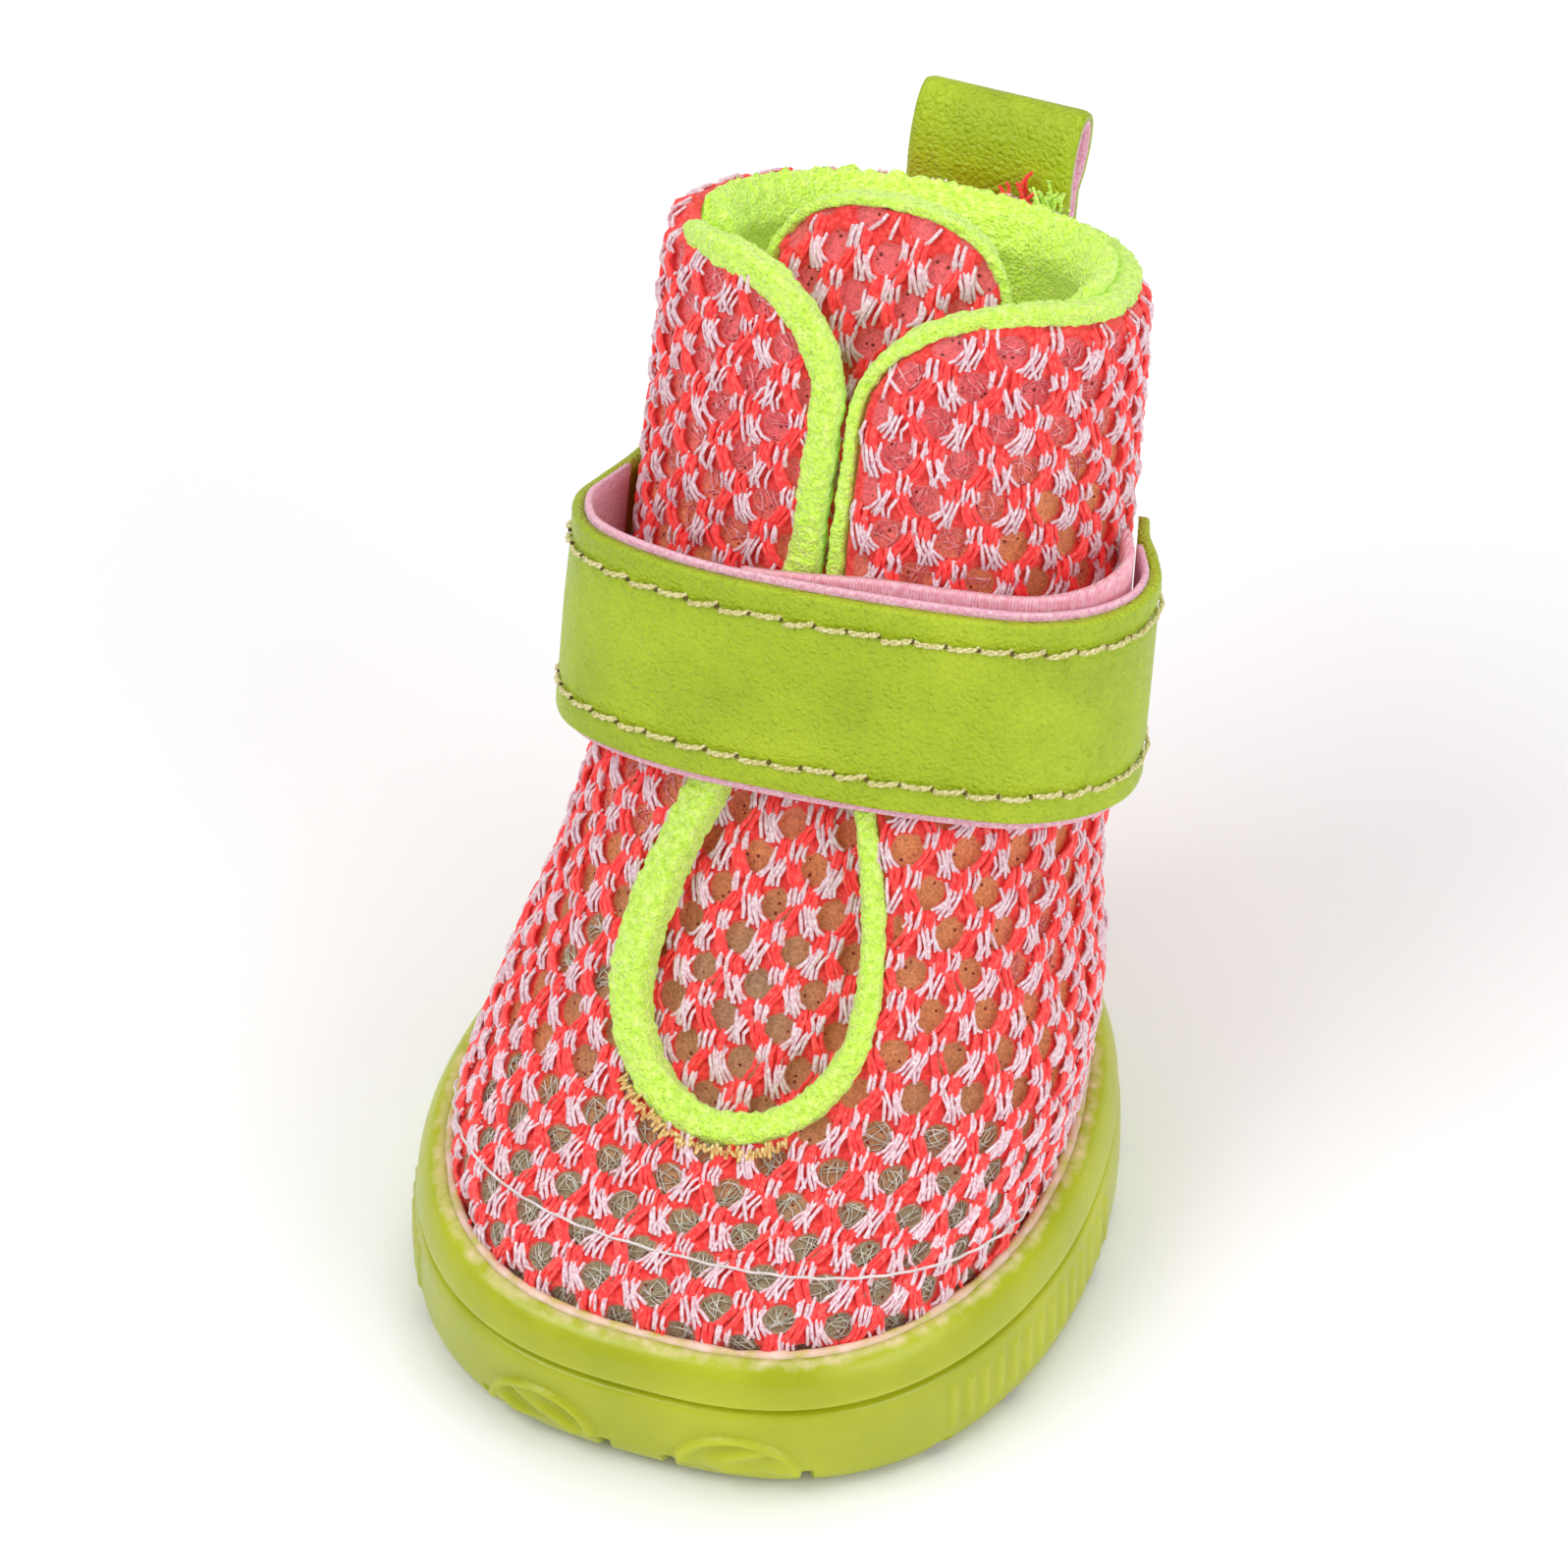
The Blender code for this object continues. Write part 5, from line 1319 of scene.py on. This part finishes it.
def ring_plan(place):
    """Points of the ring in plan, for places from -1 to 1."""
    position = (place + 1) / 2 * (len(RING) - 1)
    return np.stack([smooth(RING[:, k], position) * STRAP_HALF_SPAN for k in range(2)], -1)


def strap_point(place, depth, rise):
    """Points of the strap's ring: place round it, depth under its face, rise along its width."""
    place, depth, rise = np.broadcast_arrays(place, depth, rise)
    along = ring_plan(place + 0.01) - ring_plan(place - 0.01)
    out = away(unit(np.stack([-along[..., 1], along[..., 0]], -1)), ring_plan(place))
    flare = STRAP_END_FLARE * rise / (STRAP_WIDTH / 2) * place ** 6
    rise = rise - STRAP_DROOP * soft_step(-place, 0.15, 0.9)
    p = ring_plan(place) - out * (depth + flare)[..., None]
    return STRAP_CENTRE + p[..., 0:1] * SIDEWAYS + p[..., 1:2] * FORWARD + rise[..., None] * UPWARD


def band(name, first, last, stations, face, thickness, half, rise, wave, materials, ramp=0.001):
    """A band along the ring; a wave presses it in at its stitch lines and lets it swell elsewhere."""
    places = np.linspace(first, last, stations)[:, None]
    r = np.sin(np.linspace(-1, 1, 49) * math.pi / 2)
    past = np.maximum(0, (np.abs(r) * half - half + EDGE_ROUND) / EDGE_ROUND)
    edge_round = min(thickness * 0.4, EDGE_ROUND) * (1 - np.sqrt(np.maximum(0.0, 1 - past ** 2)))
    seam = np.exp(-((half - np.abs(r) * half - STITCH_INSET) / (0.55 * MM)) ** 2)
    relief = face + edge_round + wave * (seam - 0.25)
    lift = rise * soft_step(places, first - 0.02, first + ramp) * (0.55 + 0.45 * soft_step(places, 0.3, 0.7))
    rises = lift + r * half
    outer_face = strap_point(places, relief[None, :], rises)
    creases = 0.10 * wave / (0.12 * MM) * MM * field(outer_face, 6 * MM, 41)
    outer_face = outer_face + creases[..., None] * unit(outer_face - STRAP_CENTRE)
    back_rises = lift + np.linspace(1, -1, 15) * (half - 0.02 * MM)
    inner_face = strap_point(places, face + thickness, back_rises)
    return loft(name, np.concatenate([outer_face, inner_face], axis=1), materials)


half = STRAP_WIDTH / 2
strap = band("leather_strap", -0.998, 0.998, 260, 0.0, STRAP_THICKNESS, half, 0.0, 0.14 * MM, [leather])
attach(strap, "root")
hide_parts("strap")
felt_face = STRAP_THICKNESS + 0.03 * MM
felt_band = band("strap_felt", -0.74, 0.82, 160, felt_face, BACKING_THICKNESS - 0.05 * MM,
                 half + 0.65 * MM, -0.40 * MM, 0.0, [felt])
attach(felt_band, "root")
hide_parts("strap_backing")
webbing_face = STRAP_THICKNESS + BACKING_THICKNESS + 2 * FIT
webbing = band("loop_webbing", -0.06, 0.80, 150, webbing_face, WEBBING_THICKNESS,
               half, 1.7 * MM, 0.0, [webbing_cloth], 0.2)
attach(webbing, "root")
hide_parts("under_strap")

# %% [markdown]
# Each stitch is a short length of two-ply thread that comes out of one needle hole and goes into
# the next. The two plies are twisted paths, and the same yarn tree gives them their body. A short
# dark pin in each needle hole is painted shade.

# %% Strap stitches
STITCH, PLY_RADIUS, PLY_TURNS = 2.2 * MM, 0.125 * MM, 1.5
places = np.linspace(-0.97, 0.97, 4000)


def stitch_row(rise, name):
    """A row of stitches along the strap, at a height above its middle line."""
    line = strap_point(places, -0.02 * MM, rise)
    length = path_length(line)
    out = unit(strap_point(places, -MM, rise) - line)
    paths, holes = [], []
    stitches = int(length[-1] / STITCH)
    wander = random.normal(0, 1, stitches + 2)
    t = np.linspace(0, 1, 14)
    arch_up = (0.26 * np.sin(math.pi * t) ** 0.5 - 0.12) * MM
    for i in range(stitches):
        s = i * STITCH + np.linspace(0.04, 0.96, 14) * STITCH
        base, up = at_lengths(s, length, line), at_lengths(s, length, out)
        slant = (t - 0.5) * (0.25 + 0.12 * wander[i]) * MM + 0.07 * MM * wander[i + 1]
        for ply in (0, math.pi):
            turn = ply + t * 2 * math.pi * PLY_TURNS + i * 0.4
            p = base + up * (arch_up + 0.09 * MM * np.cos(turn))[:, None]
            paths.append(p + UPWARD * (slant + 0.10 * MM * np.sin(turn))[:, None])
        # a short dark pin in each needle hole stands for the shade in it
        hole = base[-1] + UPWARD * 0.05 * MM
        holes.append(np.stack([hole - up[-1] * 0.2 * MM, hole + up[-1] * 0.10 * MM]))
    spin_yarn(name, paths, PLY_RADIUS, 6, thread)
    spin_yarn(name + "_needle_holes", holes, 0.15 * MM, 8, needle_hole)


stitch_row(half - STITCH_INSET, "strap_stitches_upper")
stitch_row(-half + STITCH_INSET, "strap_stitches_lower")

# %% [markdown]
# The pull loop is a strip of the same leather folded on itself, felt side in, and sewn to the back
# of the shaft. Its middle line is drawn first, and both layers are offset from it, so that they
# follow the fold together and never cross.

# %% Pull loop
LOOP_WIDTH, LOOP_THICKNESS, LOOP_HEIGHT, LOOP_LEG = 11.6 * MM, 1.1 * MM, 5.4 * MM, 7.0 * MM
LOOP_BULGE, LOOP_LEAN = 1.7 * MM, math.radians(33.0)
leg_rows = TOP - LOOP_LEG * (1 - np.linspace(0, 1, 13)) / row_length(math.pi, TOP)
leg, leg_out = form(math.pi, leg_rows), form_normal(math.pi, leg_rows)
near = leg + leg_out * (FIT + LOOP_THICKNESS / 2)
far = leg + leg_out * (FIT + LOOP_THICKNESS * 1.5 + FIT)
loop_up = np.array([0.0, math.sin(LOOP_LEAN), math.cos(LOOP_LEAN)])
loop_away = np.array([0.0, math.cos(LOOP_LEAN), -math.sin(LOOP_LEAN)])
t = np.arange(1, 61) / 61 * (15 / 16)
spread = np.linalg.norm(far[-1] - near[-1])
turn = math.pi * t
crown = near[-1] + loop_up * (LOOP_HEIGHT * np.sin(turn) ** 0.8)[:, None]
crown = crown + loop_away * (spread * t - LOOP_BULGE * np.cos(turn) * np.sin(turn) ** 0.6)[:, None]
centre = np.concatenate([near, crown, far[::-1]])
centre, _ = even(centre, [], 0.2 * MM, False)
tangent = unit(np.gradient(centre, axis=0))
out = np.stack([0 * tangent[:, 0], -tangent[:, 2], tangent[:, 1]], -1)
x = np.linspace(-1, 1, 33) * LOOP_WIDTH / 2
EDGE_START, EDGE_FALL = 0.93, 0.18 * MM
face_in = EDGE_FALL * np.maximum(0, np.abs(x) / (LOOP_WIDTH / 2) - EDGE_START) / (1 - EDGE_START)


def strip(offset):
    """One face of the strip, at an offset from its middle, with its edges rounded."""
    sign = -1 if offset < 0 else 1
    sideways = centre[:, None] + x[None, :, None] * SIDEWAYS
    return sideways + out[:, None] * (offset - sign * face_in)[None, :, None]


def layer(name, first, last, finish):
    """One of the strip's layers, between two offsets."""
    return loft(name, np.concatenate([strip(first), strip(last)[:, ::-1]], axis=1), [finish])


# the leather lies on the outer side of the fold and its felt on the inner side
leather_side = 1 if np.dot(out[len(out) // 2], loop_up) > 0 else -1
seam_at = 0.1 * MM * leather_side
felt_start = seam_at - 0.02 * MM * leather_side
loop_leather = layer("pull_loop_leather", leather_side * LOOP_THICKNESS / 2, seam_at, leather)
loop_felt = layer("pull_loop_felt", felt_start, -leather_side * LOOP_THICKNESS / 2, felt)
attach(loop_leather, "root")
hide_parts("pull_loop")
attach(loop_felt, "root")

# %% [markdown]
# Dried glue stands in the corner between the cup's rim and the mesh, thicker here and thinner
# there. It is one closed ring whose thickness wanders, since an even one would look like a pipe.

# %% Glue
GLUE_INSET, GLUE_DROP = 2.5 * MM, 0.22 * MM  # from the outline, and below the rim
glue_angles = np.linspace(0, 2 * math.pi, 520, endpoint=False)
glue_line = flat_ring(glue_angles, GLUE_INSET, RIM_HEIGHT - GLUE_DROP)
glue_out = unit(outline(glue_angles, 0.0) - outline(glue_angles, MM))
thick = (0.40 + 0.14 * field(glue_line, 3.0 * MM, 61) + 0.07 * field(glue_line, 0.9 * MM, 62)) * MM
turn = np.linspace(0, 2 * math.pi, 12, endpoint=False)
glue_rings = glue_line[:, None] + glue_out[:, None] * (thick[:, None] * np.cos(turn))[..., None]
glue_rings = glue_rings + np.array([0, 0, 1.0]) * (thick[:, None] * np.sin(turn))[..., None]
bead = loft("glue_bead", glue_rings, [glue], True)
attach(bead, "root")

# %% [markdown]
# A soft insole fills the cup inside the upper. Its crown is a gentle dome, as foam is. A stack of
# the sole's own outlines, moved in, is enough for a piece that shows so little.

# %% Insole
insole_inset, insole_foot = CUP_WALL + WALL + 3 * FIT, FOOTBED_HEIGHT + FIT
around = 2 * math.pi * np.arange(160) / 160
# its side as further inset and height in millimetres, then the crown's inner rings
INSOLE_SIDE = ((0.6, 0.05), (0.1, 0.25), (0.0, 0.7), (0.15, 1.15), (0.6, 1.45), (1.5, 1.6), (4.0, 1.72))
insole_rings = [flat_ring(around, insole_inset + extra * MM, insole_foot + height * MM)
                for extra, height in INSOLE_SIDE]
insole_rings += [flat_ring(around, insole_inset + 4.0 * MM, insole_foot + 1.78 * MM, share)
                 for share in (0.6, 0.3, 0.05)]
insole_pad = loft("foam_insole", insole_rings, [foam])
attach(insole_pad, "root")
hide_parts("insole")

# %% [markdown]
# A plain pale floor, soft light from two large panels above, one at the side and an even white
# sky, and the camera where the photograph's was.

# %% Floor, light and camera
paper = Finish("pale_paper", ((244, 244, 244), (248, 248, 248)), 400 * MM, Roughness=0.9)
floor_corners = [(-3, -3, 0), (3, -3, 0), (3, 3, 0), (-3, 3, 0)]
floor = add_piece("pale_floor", floor_corners, [(0, 1, 2, 3)], [paper])

BOOT_MIDDLE = Vector((0, 0.01, 0.03))
world = bpy.data.worlds.new("soft_studio")
bpy.context.scene.world = world
world.use_nodes = True
sky = world.node_tree.nodes["Background"]
sky.inputs["Color"].default_value = (1.0, 1.0, 1.0, 1.0)
sky.inputs["Strength"].default_value = 0.42


def add_panel(name, location, size, power):
    """A square lamp in metres and watts that faces the boot."""
    lamp = bpy.data.lights.new(name, "AREA")
    lamp.shape, lamp.size, lamp.energy = "SQUARE", size, power
    obj = bpy.data.objects.new(name, lamp)
    obj.location = location
    obj.rotation_euler = (BOOT_MIDDLE - Vector(location)).to_track_quat("-Z", "Y").to_euler()
    bpy.context.scene.collection.objects.link(obj)


add_panel("key_panel", (-0.35, -0.35, 0.62), 0.5, 2.9)
add_panel("top_panel", (0.05, 0.25, 0.75), 0.6, 2.4)
add_panel("side_fill", (0.6, -0.25, 0.35), 0.5, 2.2)

# the camera was fitted to the photo in its pixels, whose middle is PHOTO_MIDDLE both ways
FOCAL_PIXELS, VIEW_PIXELS, VIEW_MIDDLE, PHOTO_MIDDLE = 8000, 1150, (741, 1003), 798.5
camera_data = bpy.data.cameras.new("camera")
camera = bpy.data.objects.new("camera", camera_data)
bpy.context.scene.collection.objects.link(camera)
camera.location = (0.1891, -0.4921, 0.5269)
aim = Vector((-0.0197, 0.0725, 0.0)) - camera.location
camera.rotation_euler = aim.to_track_quat("-Z", "Y").to_euler()
camera_data.sensor_width = 36.0
camera_data.lens = camera_data.sensor_width * FOCAL_PIXELS / VIEW_PIXELS
camera_data.shift_x = (VIEW_MIDDLE[0] - PHOTO_MIDDLE) / VIEW_PIXELS
camera_data.shift_y = (PHOTO_MIDDLE - VIEW_MIDDLE[1]) / VIEW_PIXELS
camera_data.clip_start, camera_data.clip_end = 0.01, 20.0
print("lens", round(camera_data.lens, 1), "mm,", round(aim.length, 3), "m from the boot")
bpy.context.scene.camera = camera
bpy.context.scene.view_settings.view_transform = "Standard"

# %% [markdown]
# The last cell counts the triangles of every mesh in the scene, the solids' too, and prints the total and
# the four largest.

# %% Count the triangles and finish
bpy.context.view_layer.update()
made = [o for o in bpy.context.scene.objects if o.type == "MESH"]
counts = sorted((triangles(obj), obj.name) for obj in made)
print("triangles", sum(number for number, name in counts))
print("largest", counts[-4:])
